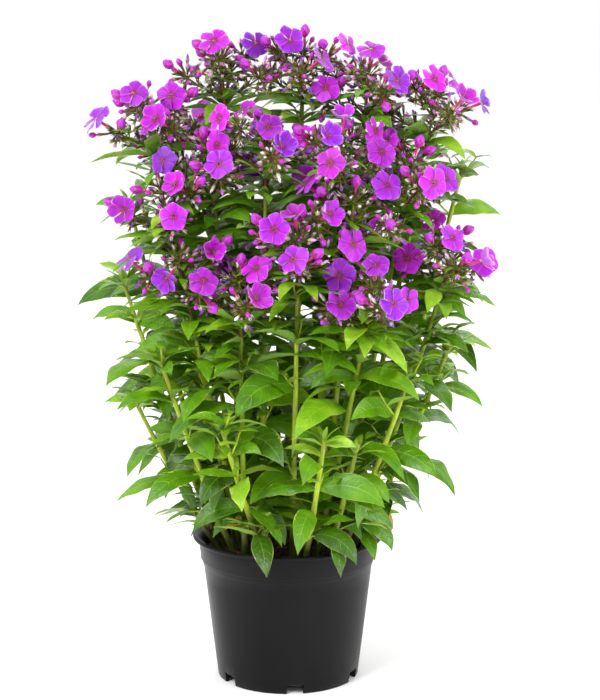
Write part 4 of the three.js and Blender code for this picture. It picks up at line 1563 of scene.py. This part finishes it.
@dataclass(frozen=True)
class NurseryPot:
    """The pot's moulded shell: notched foot, tapered wall, stepped collar and rolled lip."""

    FOOT_ROWS = slice(3, 7)

    between_notches: int = 16
    step: float = 0.55

    def profile(self) -> list[tuple[float, float]]:
        """Its outline from the axis beneath the base plate, out, up, over the lip and back in.

        Returns:
            The radius and height of each point.
        """
        pot = POT
        inner = pot.foot_radius - pot.foot_width
        base_top = pot.base_lift + pot.base_thickness
        slope = (pot.wall_top_radius - pot.foot_radius) / pot.bead_height
        outside = [(pot.foot_radius + slope * z, z) for z in (9.5, 20, 45, 70, 92, pot.bead_height)]
        lip_height, lip_radius = pot.rim_depth / 2, 2.1
        lip_centre = (pot.rim_radius - lip_radius, pot.height - lip_height)
        turns = np.radians(range(-110, 176, 26))
        lip = lip_centre + np.stack([lip_radius * np.cos(turns), lip_height * np.sin(turns)], -1)
        return [
            (0, pot.base_lift),
            (inner * 0.6, pot.base_lift),
            (inner, pot.base_lift),
            (inner, 0.5),
            (inner + 0.5, 0),
            (pot.foot_radius - 0.6, 0),
            (pot.foot_radius, 0.6),
            *outside,
            (pot.wall_top_radius + 0.5, pot.bead_height + 0.5),
            (pot.collar_radius - 2.2, pot.collar_height - 1.0),
            (pot.collar_radius - 1.7, pot.collar_height),
            (pot.collar_radius - 1.7 + self.step, pot.collar_height + 0.5),
            (pot.collar_radius - 1.0, pot.collar_step - 0.3),
            (pot.collar_radius - 0.9 + self.step, pot.collar_step + 0.5),
            (pot.collar_radius, pot.height - pot.rim_depth - 0.4),
            *lip,
            (pot.collar_radius - pot.wall, pot.height - 3.4),
            (pot.collar_radius - pot.wall - 0.6, SOIL_LEVEL + 1),
            (pot.bore(pot.bead_height), pot.bead_height),
            (pot.bore(50), 50),
            (pot.bore(base_top), base_top),
            (0, base_top),
        ]

    def turns(self) -> tuple[Points, Points]:
        """The angles of the shell's columns, with two close together at each side of a notch.

        Returns:
            The angles in radians, and whether each lies in a notch.
        """
        half = math.degrees(POT.notch_width / 2 / POT.foot_radius)
        angles, cut = [], []
        for notch in range(POT.notches):
            middle = POT.notch_turn + 360 * notch / POT.notches
            inside = np.linspace(-half, half, 6)
            outside = np.linspace(half + 0.12, 360 / POT.notches - half - 0.12, self.between_notches)
            angles += [*(middle + inside), *(middle + outside)]
            cut += [True] * len(inside) + [False] * len(outside)
        return np.radians(angles), np.array(cut)

    def weave(self) -> Weave:
        """Builds the shell.

        Returns:
            Its mesh.
        """
        weave = Weave()
        angles, cut = self.turns()
        rows = np.array(self.profile(), float)
        radii, heights = rows[:, :1] + 0 * angles, rows[:, 1:] + 0 * angles
        is_foot = np.zeros((len(rows), 1), bool)
        is_foot[self.FOOT_ROWS] = True
        arch = POT.notch_height - 0.35 * np.abs(np.sin(angles * POT.notches))
        heights = np.where(is_foot & cut, np.minimum(heights + arch, POT.base_lift - 0.1), heights)
        grid = np.stack([radii * np.cos(angles), radii * np.sin(angles), heights], -1)
        numbers = weave.add(grid, np.zeros(3), (0, 0, 0))
        numbers[0], numbers[-1] = numbers[0, 0], numbers[-1, 0]
        weave.knit(numbers, PotFinish.PLASTIC, is_round=True)
        return weave


@dataclass(frozen=True)
class PottingSoil:
    """Peat with bark: a rough top with loose crumbs on it."""

    rings: int = 46
    columns: int = 110
    crumbs: int = 400
    chips: float = 0.16
    bump: float = 1.5

    def height(self, x: float, y: float) -> float:
        """How high the soil lies.

        Args:
            x: How far the place is to the right of the pot's axis.
            y: How far it is behind it.

        Returns:
            The height there.
        """
        swell = 1.6 * (math.sin(x / 9) + math.cos(y / 7.5)) * max(0, 1 - math.hypot(x, y) / 74)
        spot = Vector((x / 5, y / 5, 0))
        lumps = self.bump * noise.fractal(spot, 0.9, 2.2, 3)
        return SOIL_LEVEL + swell + lumps + 0.6 * noise.noise(spot * 3.7)

    def weave(self) -> Weave:
        """Builds the body of the soil and its crumbs.

        Returns:
            Their mesh.
        """
        weave = Weave()
        floor = POT.base_lift + POT.base_thickness + 0.4
        edge = POT.bore(POT.bead_height) - 0.2
        turns = full_turn(self.columns)
        outline = [(POT.bore(floor) - 0.8, floor), (edge - 0.4, POT.bead_height - 2), (edge, SOIL_LEVEL - 3)]
        rings = [np.stack([r * np.cos(turns), r * np.sin(turns), z + 0 * turns], -1) for r, z in outline]
        for share in np.linspace(1, 0.02, self.rings):
            x, y = edge * share * np.cos(turns), edge * share * np.sin(turns)
            z = [self.height(a, b) + 0.8 * share**8 for a, b in zip(x, y)]
            rings.append(np.stack([x, y, z], -1))
        grid = weave.add(np.array(rings), np.zeros(3), (0, 0, 0))
        ends = weave.add(np.array([(0, 0, floor), (0, 0, self.height(0, 0))]), np.zeros(3), (0, 0, 0))
        weave.knit_closed(grid, ends, PotFinish.SOIL)
        random = np.random.default_rng(7)
        for _ in range(self.crumbs):
            self.crumb(weave, edge, random)
        return weave

    def crumb(self, weave: Weave, edge: float, random: Random) -> None:
        """Adds one loose crumb of peat, or now and then a chip of bark.

        Args:
            weave: The mesh that takes it.
            edge: The radius of the soil's top.
            random: The draws for its place and form.
        """
        away, turn = (edge - 3) * math.sqrt(random.random()), random.uniform(0, 2 * math.pi)
        x, y = away * math.cos(turn), away * math.sin(turn)
        is_chip = random.random() < self.chips
        size = random.uniform(1.6, 3.4) if is_chip else random.gamma(2.2, 0.45) + 0.5
        middle = np.array((x, y, self.height(x, y) + 0.25 * size))
        way = heading(random.uniform(0, 360), random.uniform(-30, 30))
        shares = np.array((-1, -0.55, 0.1, 0.65, 1.0))
        path = middle + np.outer(shares * size * (1.5 if is_chip else 1), way)
        path = path + random.normal(0, 0.12 * size, (5, 3))
        radii = size * np.array((0.25, 0.8, 1, 0.75, 0.2)) * (0.42 if is_chip else 0.85)
        wave = random.uniform(0.72, 1.2, (5, 6))
        tint = (random.random(), random.random(), float(is_chip))
        weave.tube(path, radii, 6, PotFinish.SOIL, tint, wave=wave)


# ---- finishes


# the setting of a range that eases in and out
SMOOTH = {"interpolation_type": "SMOOTHSTEP"}


def linear(colour: str) -> tuple[float, float, float, float]:
    """An sRGB hex colour as linear red, green, blue and alpha."""
    shares = [int(colour[i : i + 2], 16) / 255 for i in (1, 3, 5)]
    return (*((s / 12.92 if s <= 0.04045 else ((s + 0.055) / 1.055) ** 2.4) for s in shares), 1.0)


def put(tree: Tree, kind: str, values: dict, out: int = 0) -> Socket:
    """Adds a node with its settings and links.

    Args:
        tree: The node tree that takes it.
        kind: The node's type, without the words ShaderNode.
        values: Properties of the node by name, and values or sockets of its inputs by name or number. The
            stops of a colour ramp are pairs of a position and a hex colour.
        out: The number of the output that is wanted.

    Returns:
        That output.
    """
    node = tree.nodes.new("ShaderNode" + kind)
    for key, value in values.items():
        if key == "stops":
            ramp = node.color_ramp.elements
            for index, (position, colour) in enumerate(value):
                stop = ramp[index] if index < 2 else ramp.new(position)
                stop.position, stop.color = position, linear(colour)
        elif isinstance(key, str) and hasattr(node, key):
            setattr(node, key, value)
        elif isinstance(value, bpy.types.NodeSocket):
            tree.links.new(value, node.inputs[key])
        elif isinstance(value, str):
            node.inputs[key].default_value = linear(value)
        else:
            node.inputs[key].default_value = value
    return node.outputs[out]


@dataclass(frozen=True)
class Surface:
    """What all finishes share.

    The depth is how far light gets under the surface, in metres. The relief is how deep the surface's
    pattern is, in millimetres, and its share is how much of that shows.
    """

    name: str = ""
    roughness: float = 0.5
    ior: float = 1.4
    specular: float = 0.5
    depth: float = 0
    sheen: float = 0
    relief: float = 0.1
    relief_share: float = 0.5

    def build(self) -> Material:
        """Makes the finish.

        Returns:
            Its material.
        """
        material = bpy.data.materials.new(self.name)
        material.use_nodes = True
        tree = material.node_tree
        tree.nodes.clear()
        colour, rough, height = self.dress(tree)
        relief = {"Height": height, "Distance": self.relief / 1000, "Strength": self.relief_share}
        normal = put(tree, "Bump", relief)
        values = {"Base Color": colour, "Roughness": rough, "Normal": normal, "IOR": self.ior}
        values |= {"Specular IOR Level": self.specular, "Sheen Weight": self.sheen, "Sheen Roughness": 0.4}
        if self.depth:
            values |= {"Subsurface Weight": 1.0, "Subsurface Scale": self.depth}
            values |= {"Subsurface Radius": (1.0, 0.8, 0.5)}
        shader = put(tree, "BsdfPrincipled", values)
        output = tree.nodes.new("ShaderNodeOutputMaterial")
        tree.links.new(shader, output.inputs["Surface"])
        return material

    def dress(self, tree: Tree) -> Look:
        """The colour, roughness and relief of the finish, built in its node tree."""
        raise NotImplementedError


def read(tree: Tree, word: str) -> tuple[Socket, ...]:
    """The three numbers that a mesh keeps at each point under a word: its mark or its tint."""
    vector = put(tree, "Attribute", {"attribute_name": word}, out=1)
    return tuple(put(tree, "SeparateXYZ", {"Vector": vector}).node.outputs)


def grain(tree: Tree, size: float, detail: float = 2, stretch: Triple = (1, 1, 1)) -> Socket:
    """Noise from 0 to 1.

    Args:
        tree: The node tree that takes it.
        size: How far across its patches are, in millimetres.
        detail: How many finer layers it has.
        stretch: Shares of its pace along each axis.

    Returns:
        Its value.
    """
    place = put(tree, "TexCoord", {}, out=3)
    scaled = put(tree, "VectorMath", {"operation": "MULTIPLY", 0: place, 1: stretch})
    values = {"Vector": scaled, "Scale": 1000 / size, "Detail": detail, "Roughness": 0.55}
    return put(tree, "TexNoise", values)


@dataclass(frozen=True)
class LeafBlade(Surface):
    """Phlox leaf, living: smooth and a little glossy, with sunken veins, paler midrib and a pale margin,
    partly its own and partly a painted edge highlight.
    """

    name: str = "Phlox leaf blade, fresh, smooth, with sunken veins"
    roughness: float = 0.34
    specular: float = 0.58
    depth: float = 0.0002
    relief: float = 0.42
    relief_share: float = 0.9

    def dress(self, tree: Tree) -> Look:
        """Deep green to yellow-green by age, with a paler midrib and a grey-green underside.

        Args:
            tree: The node tree that takes it.

        Returns:
            The colour, roughness and relief.
        """
        phase, across, underside = read(tree, "mark")
        tone, _, age = read(tree, "tint")
        patches = put(tree, "MapRange", {"Value": grain(tree, 18, 3), 1: 0.3, 2: 0.7, 3: -0.17, 4: 0.17})
        mixed = put(tree, "Math", {"operation": "ADD", 0: tone, 1: patches})
        stops = ((0.0, "#375E02"), (0.3, "#4E8202"), (0.6, "#689C08"), (0.82, "#8AB41C"), (1.0, "#B6D254"))
        green = put(tree, "ValToRGB", {"Fac": mixed, "stops": stops})
        aged = put(tree, "ValToRGB", {"Fac": grain(tree, 9), "stops": ((0.35, "#D8B23A"), (0.65, "#B9822C"))})
        green = put(tree, "Mix", {"data_type": "RGBA", 0: age, 6: green, 7: aged}, out=2)
        side = put(tree, "Math", {"operation": "ABSOLUTE", 0: across})
        near = put(tree, "Math", {"operation": "PINGPONG", 0: phase, 1: 0.5})
        vein = put(tree, "MapRange", SMOOTH | {"Value": near, 1: 0.12, 2: 0.0})
        inner = put(tree, "MapRange", {"Value": side, 1: 0.98, 2: 0.6})
        vein = put(tree, "Math", {"operation": "MULTIPLY", 0: vein, 1: inner})
        drawn = put(tree, "Math", {"operation": "MULTIPLY", 0: vein, 1: 0.1})
        green = put(tree, "Mix", {"data_type": "RGBA", 0: drawn, 6: green, 7: "#A6C648"}, out=2)
        back = put(tree, "MapRange", {"Value": underside, 1: 0.15, 2: 0.6, 4: 0.7})
        green = put(tree, "Mix", {"data_type": "RGBA", 0: back, 6: green, 7: "#8DAA58"}, out=2)
        rib = put(tree, "MapRange", SMOOTH | {"Value": side, 1: 0.06, 2: 0.01, 4: 0.3})
        green = put(tree, "Mix", {"data_type": "RGBA", 0: rib, 6: green, 7: "#A9CC56"}, out=2)
        # pale margin: partly the leaf's own paler edge, partly a painted highlight standing for light caught
        # along the thin rim
        margin_and_painted_highlight = put(tree, "MapRange", SMOOTH | {"Value": side, 1: 0.93, 2: 1.0, 4: 0.4})
        green = put(tree, "Mix", {"data_type": "RGBA", 0: margin_and_painted_highlight, 6: green, 7: "#A8CC4E"}, out=2)
        limits = {3: self.roughness - 0.06, 4: self.roughness + 0.1}
        rough = put(tree, "MapRange", {"Value": grain(tree, 5)} | limits)
        sunk = put(tree, "Math", {"operation": "MULTIPLY_ADD", 0: vein, 1: -0.6, 2: grain(tree, 2.2)})
        return green, rough, sunk


@dataclass(frozen=True)
class StemSkin(Surface):
    """Phlox stem, living: a smooth yellow-green skin with faint streaks, tinged brown towards the head."""

    name: str = "Phlox stem skin, fresh, smooth and faintly streaked"
    roughness: float = 0.45
    depth: float = 0.001
    relief: float = 0.15

    def dress(self, tree: Tree) -> Look:
        """Yellow-green with streaks along it, with painted shade darkening it to dull green at the foot, and
        brownish at the top.

        Args:
            tree: The node tree that takes it.

        Returns:
            The colour, roughness and relief.
        """
        along = read(tree, "mark")[0]
        tone = read(tree, "tint")[0]
        streaks = grain(tree, 2.5, 2, (1, 1, 0.12))
        mixed = put(tree, "Math", {"operation": "MULTIPLY_ADD", 0: tone, 1: 0.35, 2: streaks})
        stops = ((0.3, "#7C9A18"), (0.62, "#9DB62A"), (1.0, "#BDCB48"))
        green = put(tree, "ValToRGB", {"Fac": mixed, "stops": stops})
        place = put(tree, "TexCoord", {}, out=3)
        height = put(tree, "SeparateXYZ", {"Vector": place}, out=2)
        # painted shade: from 200 mm down to 138 mm above the ground, just over the pot's rim, the stem is
        # darkened towards dull green
        foot = put(tree, "MapRange", {"Value": height, 1: 0.2, 2: 0.138, 4: 0.95})
        green = put(tree, "Mix", {"data_type": "RGBA", 0: foot, 6: green, 7: "#333C12"}, out=2)
        top = put(tree, "MapRange", {"Value": along, 1: 0.8, 2: 1.0, 4: 0.6})
        green = put(tree, "Mix", {"data_type": "RGBA", 0: top, 6: green, 7: "#6B6A2A"}, out=2)
        return green, self.roughness, streaks


@dataclass(frozen=True)
class BranchSkin(Surface):
    """Head branch, living: downy, dark olive and in places wine-brown."""

    name: str = "Phlox head branch skin, fresh and downy"
    roughness: float = 0.6
    relief: float = 0.12
    relief_share: float = 0.6

    def dress(self, tree: Tree) -> Look:
        """Olive to wine-brown in patches.

        Args:
            tree: The node tree that takes it.

        Returns:
            The colour, roughness and relief.
        """
        tone = read(tree, "tint")[0]
        mixed = put(tree, "Math", {"operation": "MULTIPLY_ADD", 0: tone, 1: 0.4, 2: grain(tree, 9, 2)})
        stops = ((0.35, "#8A9A38"), (0.6, "#6E6228"), (0.8, "#61402A"), (1.0, "#6A3038"))
        colour = put(tree, "ValToRGB", {"Fac": mixed, "stops": stops})
        return colour, self.roughness, grain(tree, 0.8)


@dataclass(frozen=True)
class CalyxSkin(Surface):
    """Calyx, living: dark green ribs with dry, pale or wine-coloured teeth."""

    name: str = "Phlox calyx, fresh, ribbed, with thin dry teeth"
    roughness: float = 0.55

    def dress(self, tree: Tree) -> Look:
        """Green at the base, then dark, with teeth that are pale in some and wine-brown in others.

        Args:
            tree: The node tree that takes it.

        Returns:
            The colour, roughness and relief.
        """
        along = read(tree, "mark")[0]
        _, luck, tooth = read(tree, "tint")
        stops = ((0.0, "#7F9A30"), (0.6, "#605C22"), (1.0, "#48331A"))
        body = put(tree, "ValToRGB", {"Fac": along, "stops": stops})
        stops = ((0.0, "#45242A"), (0.3, "#58361F"), (0.5, "#747028"), (0.72, "#B8AC74"), (0.92, "#EDE6CF"))
        teeth = put(tree, "ValToRGB", {"Fac": luck, "stops": stops})
        foot = put(tree, "MapRange", {"Value": along, 1: 0.0, 2: 0.45})
        teeth = put(tree, "Mix", {"data_type": "RGBA", 0: foot, 6: "#42421E", 7: teeth}, out=2)
        colour = put(tree, "Mix", {"data_type": "RGBA", 0: tooth, 6: body, 7: teeth}, out=2)
        return colour, self.roughness, grain(tree, 0.7)


@dataclass(frozen=True)
class CorollaTube(Surface):
    """Flower tube, living petal tissue: silky rose-red, crimson inside the throat and darkened deeper down by
    painted shade.
    """

    name: str = "Phlox flower tube, fresh, silky"
    roughness: float = 0.45
    depth: float = 0.0008
    relief_share: float = 0.4

    def dress(self, tree: Tree) -> Look:
        """Pale where it leaves the calyx, rose-red, pale again round the throat, crimson just inside it and
        near-black further in, the near-black being painted shade.

        Args:
            tree: The node tree that takes it.

        Returns:
            The colour, roughness and relief.
        """
        along = read(tree, "mark")[0]
        half = put(tree, "Math", {"operation": "MULTIPLY", 0: along, 1: 0.5})
        outside = ((0.0, "#C9688C"), (0.2, "#C8407E"), (0.44, "#B82878"))
        # painted shade: inside the throat the stops darken from crimson to near-black with depth down the
        # tube
        stops = (*outside, (0.5, "#DCA0C4"), (0.58, "#8C1A50"), (0.8, "#40081E"))
        colour = put(tree, "ValToRGB", {"Fac": half, "stops": stops})
        return colour, self.roughness, grain(tree, 1.2, 1, (1, 1, 0.3))


@dataclass(frozen=True)
class PetalBlade(Surface):
    """Phlox petal, living: velvety magenta-violet with a red-magenta eye and veins that fan outwards."""

    name: str = "Phlox petal, fresh, velvety, with fanned veins"
    roughness: float = 0.5
    depth: float = 0.0005
    sheen: float = 0.3
    relief: float = 0.25

    def dress(self, tree: Tree) -> Look:
        """A dark eye that brightens outwards, turned to pink or to violet by the flower.

        Args:
            tree: The node tree that takes it.

        Returns:
            The colour, roughness and relief.
        """
        out, across, underside = read(tree, "mark")
        tone, luck, shade = read(tree, "tint")
        patches = put(tree, "MapRange", {"Value": grain(tree, 6, 2), 3: -0.07, 4: 0.07})
        place = put(tree, "Math", {"operation": "ADD", 0: out, 1: patches})
        eye = ((0.0, "#8E0C44"), (0.13, "#840850"), (0.21, "#A0129A"))
        stops = (*eye, (0.33, "#B624C4"), (0.65, "#B62EDA"), (0.9, "#C846E4"), (1.0, "#DC7CF0"))
        colour = put(tree, "ValToRGB", {"Fac": place, "stops": stops})
        stretched = put(tree, "Math", {"operation": "MULTIPLY", 0: out, 1: 0.12})
        own = put(tree, "Math", {"operation": "MULTIPLY", 0: luck, 1: 9.0})
        fan = put(tree, "CombineXYZ", {"X": across, "Y": stretched, "Z": own})
        ribs = put(tree, "TexNoise", {"Vector": fan, "Scale": 7, "Detail": 2})
        vein = put(tree, "MapRange", SMOOTH | {"Value": ribs, 1: 0.5, 2: 0.6, 4: 0.7})
        colour = put(tree, "Mix", {"data_type": "RGBA", 0: vein, 6: colour, 7: "#8A12AC"}, out=2)
        middle = put(tree, "Math", {"operation": "ABSOLUTE", 0: across})
        crease = put(tree, "MapRange", SMOOTH | {"Value": middle, 1: 0.08, 2: 0.0, 4: 0.7})
        inner = put(tree, "MapRange", {"Value": out, 1: 0.9, 2: 0.25})
        crease = put(tree, "Math", {"operation": "MULTIPLY", 0: crease, 1: inner})
        colour = put(tree, "Mix", {"data_type": "RGBA", 0: crease, 6: colour, 7: "#8E1496"}, out=2)
        # pale lobe edges: partly the petal's own paler rim, partly a painted highlight standing for light
        # caught along the overlapping edges
        edge = put(tree, "MapRange", SMOOTH | {"Value": middle, 1: 0.88, 2: 1.0, 4: 0.42})
        colour = put(tree, "Mix", {"data_type": "RGBA", 0: edge, 6: colour, 7: "#EFA4F8"}, out=2)
        back = put(tree, "MapRange", {"Value": underside, 1: 0.2, 2: 0.7, 4: 0.7})
        colour = put(tree, "Mix", {"data_type": "RGBA", 0: back, 6: colour, 7: "#B67DE6"}, out=2)
        hue = put(tree, "MapRange", {"Value": tone, 3: 0.53, 4: 0.46})
        value = put(tree, "MapRange", {"Value": luck, 3: 0.86, 4: 1.06})
        whole = put(tree, "MapRange", {"Value": shade, 3: 0.7, 4: 1.08})
        value = put(tree, "Math", {"operation": "MULTIPLY", 0: value, 1: whole})
        colour = put(tree, "HueSaturation", {"Hue": hue, "Saturation": 1.04, "Value": value, "Color": colour})
        return colour, self.roughness, ribs


@dataclass(frozen=True)
class BudSkin(Surface):
    """Furled bud, living petal tissue: silky magenta when swollen; violet or whitish while narrow."""

    name: str = "Phlox bud, fresh, furled and silky"
    roughness: float = 0.42
    depth: float = 0.001
    relief_share: float = 0.4

    def dress(self, tree: Tree) -> Look:
        """Painted shade darkens the furrows between the furled lobes; a narrow bud is greenish-white at its
        base.

        Args:
            tree: The node tree that takes it.

        Returns:
            The colour, roughness and relief.
        """
        along, wave, _ = read(tree, "mark")
        _, luck, narrow = read(tree, "tint")
        stops = ((0.0, "#C04C96"), (0.25, "#B8209C"), (0.7, "#C53CC8"), (1.0, "#A43CC4"))
        full = put(tree, "ValToRGB", {"Fac": along, "stops": stops})
        # painted shade: darker magenta laid in the furrows, where the surface's wave dips inwards
        furrow = put(tree, "MapRange", {"Value": wave, 1: 0.98, 2: 0.8, 4: 0.7})
        full = put(tree, "Mix", {"data_type": "RGBA", 0: furrow, 6: full, 7: "#7A1478"}, out=2)
        stops = ((0.0, "#6A3FB4"), (0.35, "#A23CC0"), (0.6, "#D88AD6"), (0.8, "#F0E2EC"), (1.0, "#FAF6F0"))
        tip = put(tree, "ValToRGB", {"Fac": luck, "stops": stops})
        slim = put(tree, "MapRange", {"Value": along, 1: 0.15, 2: 0.6})
        slim = put(tree, "Mix", {"data_type": "RGBA", 0: slim, 6: "#C4C79A", 7: tip}, out=2)
        colour = put(tree, "Mix", {"data_type": "RGBA", 0: narrow, 6: full, 7: slim}, out=2)
        return colour, self.roughness, grain(tree, 1.5, 1)


@dataclass(frozen=True)
class Anther(Surface):
    """Anther, living: cream and powdery with pollen."""

    name: str = "Phlox anther, powdery with pollen"
    roughness: float = 0.8
    relief_share: float = 0.6

    def dress(self, tree: Tree) -> Look:
        """Cream with paler dust; pollen is finer than shows, so it is drawn 0.4 mm wide.

        Args:
            tree: The node tree that takes it.

        Returns:
            The colour, roughness and relief.
        """
        stops = ((0.35, "#E6C98A"), (0.65, "#F8F0CE"))
        dust = grain(tree, 0.4, 1)
        colour = put(tree, "ValToRGB", {"Fac": dust, "stops": stops})
        return colour, self.roughness, dust


@dataclass(frozen=True)
class MouldedPolypropylene(Surface):
    """Polypropylene with carbon black, injection moulded: a satin skin with faint flow marks."""

    name: str = "Black polypropylene, injection moulded, satin"
    roughness: float = 0.34
    ior: float = 1.49
    specular: float = 0.13
    relief: float = 0.05
    relief_share: float = 0.35

    def dress(self, tree: Tree) -> Look:
        """Near-black; the satin grain is finer than shows, so it is drawn 1.2 mm wide.

        Args:
            tree: The node tree that takes it.

        Returns:
            The colour, roughness and relief.
        """
        flow = grain(tree, 60, 2, (1, 1, 0.35))
        stops = ((0.3, "#0D0D0E"), (0.7, "#141415"))
        colour = put(tree, "ValToRGB", {"Fac": flow, "stops": stops})
        skin = grain(tree, 1.2, 2)
        limits = {3: self.roughness - 0.05, 4: self.roughness + 0.06}
        rough = put(tree, "MapRange", {"Value": flow, 1: 0.3, 2: 0.7} | limits)
        return colour, rough, skin


@dataclass(frozen=True)
class PeatAndBark(Surface):
    """Potting soil, mixed peat and milled bark: dark red-brown, with lighter fibres and chips."""

    name: str = "Peat and bark, milled, damp"
    roughness: float = 0.92
    relief: float = 0.8
    relief_share: float = 0.9

    def dress(self, tree: Tree) -> Look:
        """Specks from near-black to rust, with bark chips a little redder.

        Args:
            tree: The node tree that takes it.

        Returns:
            The colour, roughness and relief.
        """
        tone, luck, chip = read(tree, "tint")
        dark = ((0.25, "#1C0F0C"), (0.48, "#3A211B"), (0.62, "#5C3527"))
        stops = (*dark, (0.78, "#8A5A3C"), (0.95, "#B48A62"))
        mixed = put(tree, "Math", {"operation": "MULTIPLY_ADD", 0: luck, 1: 0.16, 2: grain(tree, 2.6, 4)})
        colour = put(tree, "ValToRGB", {"Fac": mixed, "stops": stops})
        bark = put(tree, "ValToRGB", {"Fac": tone, "stops": ((0.0, "#4A2419"), (1.0, "#7A4630"))})
        part = put(tree, "Math", {"operation": "MULTIPLY", 0: chip, 1: 0.6})
        colour = put(tree, "Mix", {"data_type": "RGBA", 0: part, 6: colour, 7: bark}, out=2)
        return colour, self.roughness, grain(tree, 1.1, 3)


@dataclass(frozen=True)
class StudioFloor(Surface):
    """Paper sweep, matt and pale."""

    name: str = "Studio paper, matt, pale"
    roughness: float = 0.9
    relief: float = 0.02
    relief_share: float = 0.1

    def dress(self, tree: Tree) -> Look:
        """White with a trace of grey in it.

        Args:
            tree: The node tree that takes it.

        Returns:
            The colour, roughness and relief.
        """
        stops = ((0.3, "#FCFCFC"), (0.7, "#FEFEFE"))
        tooth = grain(tree, 3, 1)
        colour = put(tree, "ValToRGB", {"Fac": tooth, "stops": stops})
        return colour, self.roughness, tooth


# ---- the studio


@dataclass(frozen=True)
class Lamp:
    """A square soft lamp: its name, its place from the pot's foot and its side in metres, and its watts."""

    name: str
    place: Triple
    size: float
    power: float


@dataclass(frozen=True)
class Studio:
    """A pale floor, soft light from all round with a large lamp at the upper left, and the camera."""

    lamps: tuple[Lamp, ...] = (
        Lamp("Key lamp", (-1.3, -1.7, 2.0), 1.0, 54),
        Lamp("Side lamp", (2.1, -1.1, 0.7), 0.9, 26),
        Lamp("Back lamp", (0.4, 2.0, 1.9), 1.4, 20),
    )
    lit_height: float = 0.32
    floor_radius: float = 60
    floor_corners: int = 64
    world_strength: float = 1.02
    lens: float = 107.6
    pitch: float = 10.74
    eye: Triple = (0.0112, -1.870, 0.660)

    def build(self, axis: Points) -> None:
        """Sets the studio.

        Args:
            axis: Where the pot's axis meets the ground, in metres.
        """
        self.floor(axis)
        self.world()
        for lamp in self.lamps:
            self.light(lamp, axis)
        self.camera(axis)
        bpy.context.scene.view_settings.view_transform = "Standard"

    def floor(self, axis: Points) -> None:
        """Lays the paper that the pot stands on.

        Args:
            axis: Where the pot's axis meets it.
        """
        turns = full_turn(self.floor_corners)
        rim = axis + self.floor_radius * np.stack([np.cos(turns), np.sin(turns), 0 * turns], -1)
        mesh = bpy.data.meshes.new("studio_floor")
        mesh.from_pydata(rim.tolist(), [], [tuple(range(len(rim)))])
        mesh.materials.append(StudioFloor().build())
        made = bpy.data.objects.new("studio_floor", mesh)
        bpy.context.scene.collection.objects.link(made)

    def world(self) -> None:
        """Sets white light from all round."""
        world = bpy.data.worlds.new("Soft white studio")
        world.use_nodes = True
        background = world.node_tree.nodes["Background"]
        background.inputs["Color"].default_value = linear("#FFFFFF")
        background.inputs["Strength"].default_value = self.world_strength
        bpy.context.scene.world = world

    def light(self, lamp: Lamp, axis: Points) -> None:
        """Hangs a lamp that looks at the plant's middle.

        Args:
            lamp: The lamp.
            axis: Where the pot's axis meets the ground, in metres.
        """
        light = bpy.data.lights.new(lamp.name, "AREA")
        light.size, light.energy = lamp.size, lamp.power
        made = bpy.data.objects.new(lamp.name, light)
        place, target = axis + lamp.place, axis + (0, 0, self.lit_height)
        made.location = Vector(place)
        made.rotation_euler = Vector(target - place).to_track_quat("-Z", "Y").to_euler()
        bpy.context.scene.collection.objects.link(made)

    def camera(self, axis: Points) -> None:
        """Sets the camera, a little above the plant's top and tilted down.

        Args:
            axis: Where the pot's axis meets the ground, in metres.
        """
        data = bpy.data.cameras.new("Camera")
        data.lens, data.sensor_width = self.lens, 36
        made = bpy.data.objects.new("Camera", data)
        made.location = Vector(axis + self.eye)
        made.rotation_euler = (math.radians(90 - self.pitch), 0, 0)
        bpy.context.scene.collection.objects.link(made)
        bpy.context.scene.camera = made


# ---- the whole


@dataclass
class PhloxPlant:
    """The plant in its pot."""

    axis: Points
    plant_finishes: tuple[Surface, ...] = (
        StemSkin(),
        LeafBlade(),
        BranchSkin(),
        CalyxSkin(),
        CorollaTube(),
        PetalBlade(),
        BudSkin(),
        Anther(),
    )
    pot_finishes: tuple[Surface, ...] = (MouldedPolypropylene(), PeatAndBark())
    faces: int = 0

    def place(self, weave: Weave, name: str, materials: list[Material], node: str, slot: str) -> None:
        """Builds a piece, and puts it in the place of its node.

        Args:
            weave: The piece's mesh.
            name: Its name.
            materials: The materials that its finishes stand for.
            node: The node that it replaces.
            slot: Its material slot; not used.
        """
        made = weave.build(name, materials, self.axis)
        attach(made, "root")
        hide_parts(node)
        self.faces += len(made.data.polygons)
        LOG.info("%s: %d faces, %d in all", name, len(made.data.polygons), self.faces)

    def build(self) -> None:
        """Builds every piece."""
        pot_materials = [finish.build() for finish in self.pot_finishes]
        self.place(NurseryPot().weave(), "pot_shell", pot_materials, "nursery_pot", "pot_plastic")
        self.place(PottingSoil().weave(), "peat_and_bark", pot_materials, "potting_soil", "potting_soil")
        materials = [finish.build() for finish in self.plant_finishes]
        for shoot in Growth().shoots:
            kind = "flowering_stem" if shoot.is_flowering else "leafy_shoot"
            leafy, name = LeafyStem(shoot).weave(), f"stem_and_leaves_{shoot.label}"
            self.place(leafy, name, materials, f"{kind}_{shoot.label}", "stem_and_leaf")
            if shoot.is_flowering:
                head, name = Head(shoot).weave(), f"head_in_flower_{shoot.label}"
                self.place(head, name, materials, f"flower_head_{shoot.label}", "flower")


def main() -> None:
    """Builds the plant and the studio, and notes the sizes."""
    logging.basicConfig(level=logging.INFO, format="%(name)s %(message)s")
    low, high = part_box("nursery_pot")
    axis = np.array(((low.x + high.x) / 2, (low.y + high.y) / 2, 0))
    PhloxPlant(axis).build()
    Studio().build(axis)


if __name__ == "__main__":
    main()
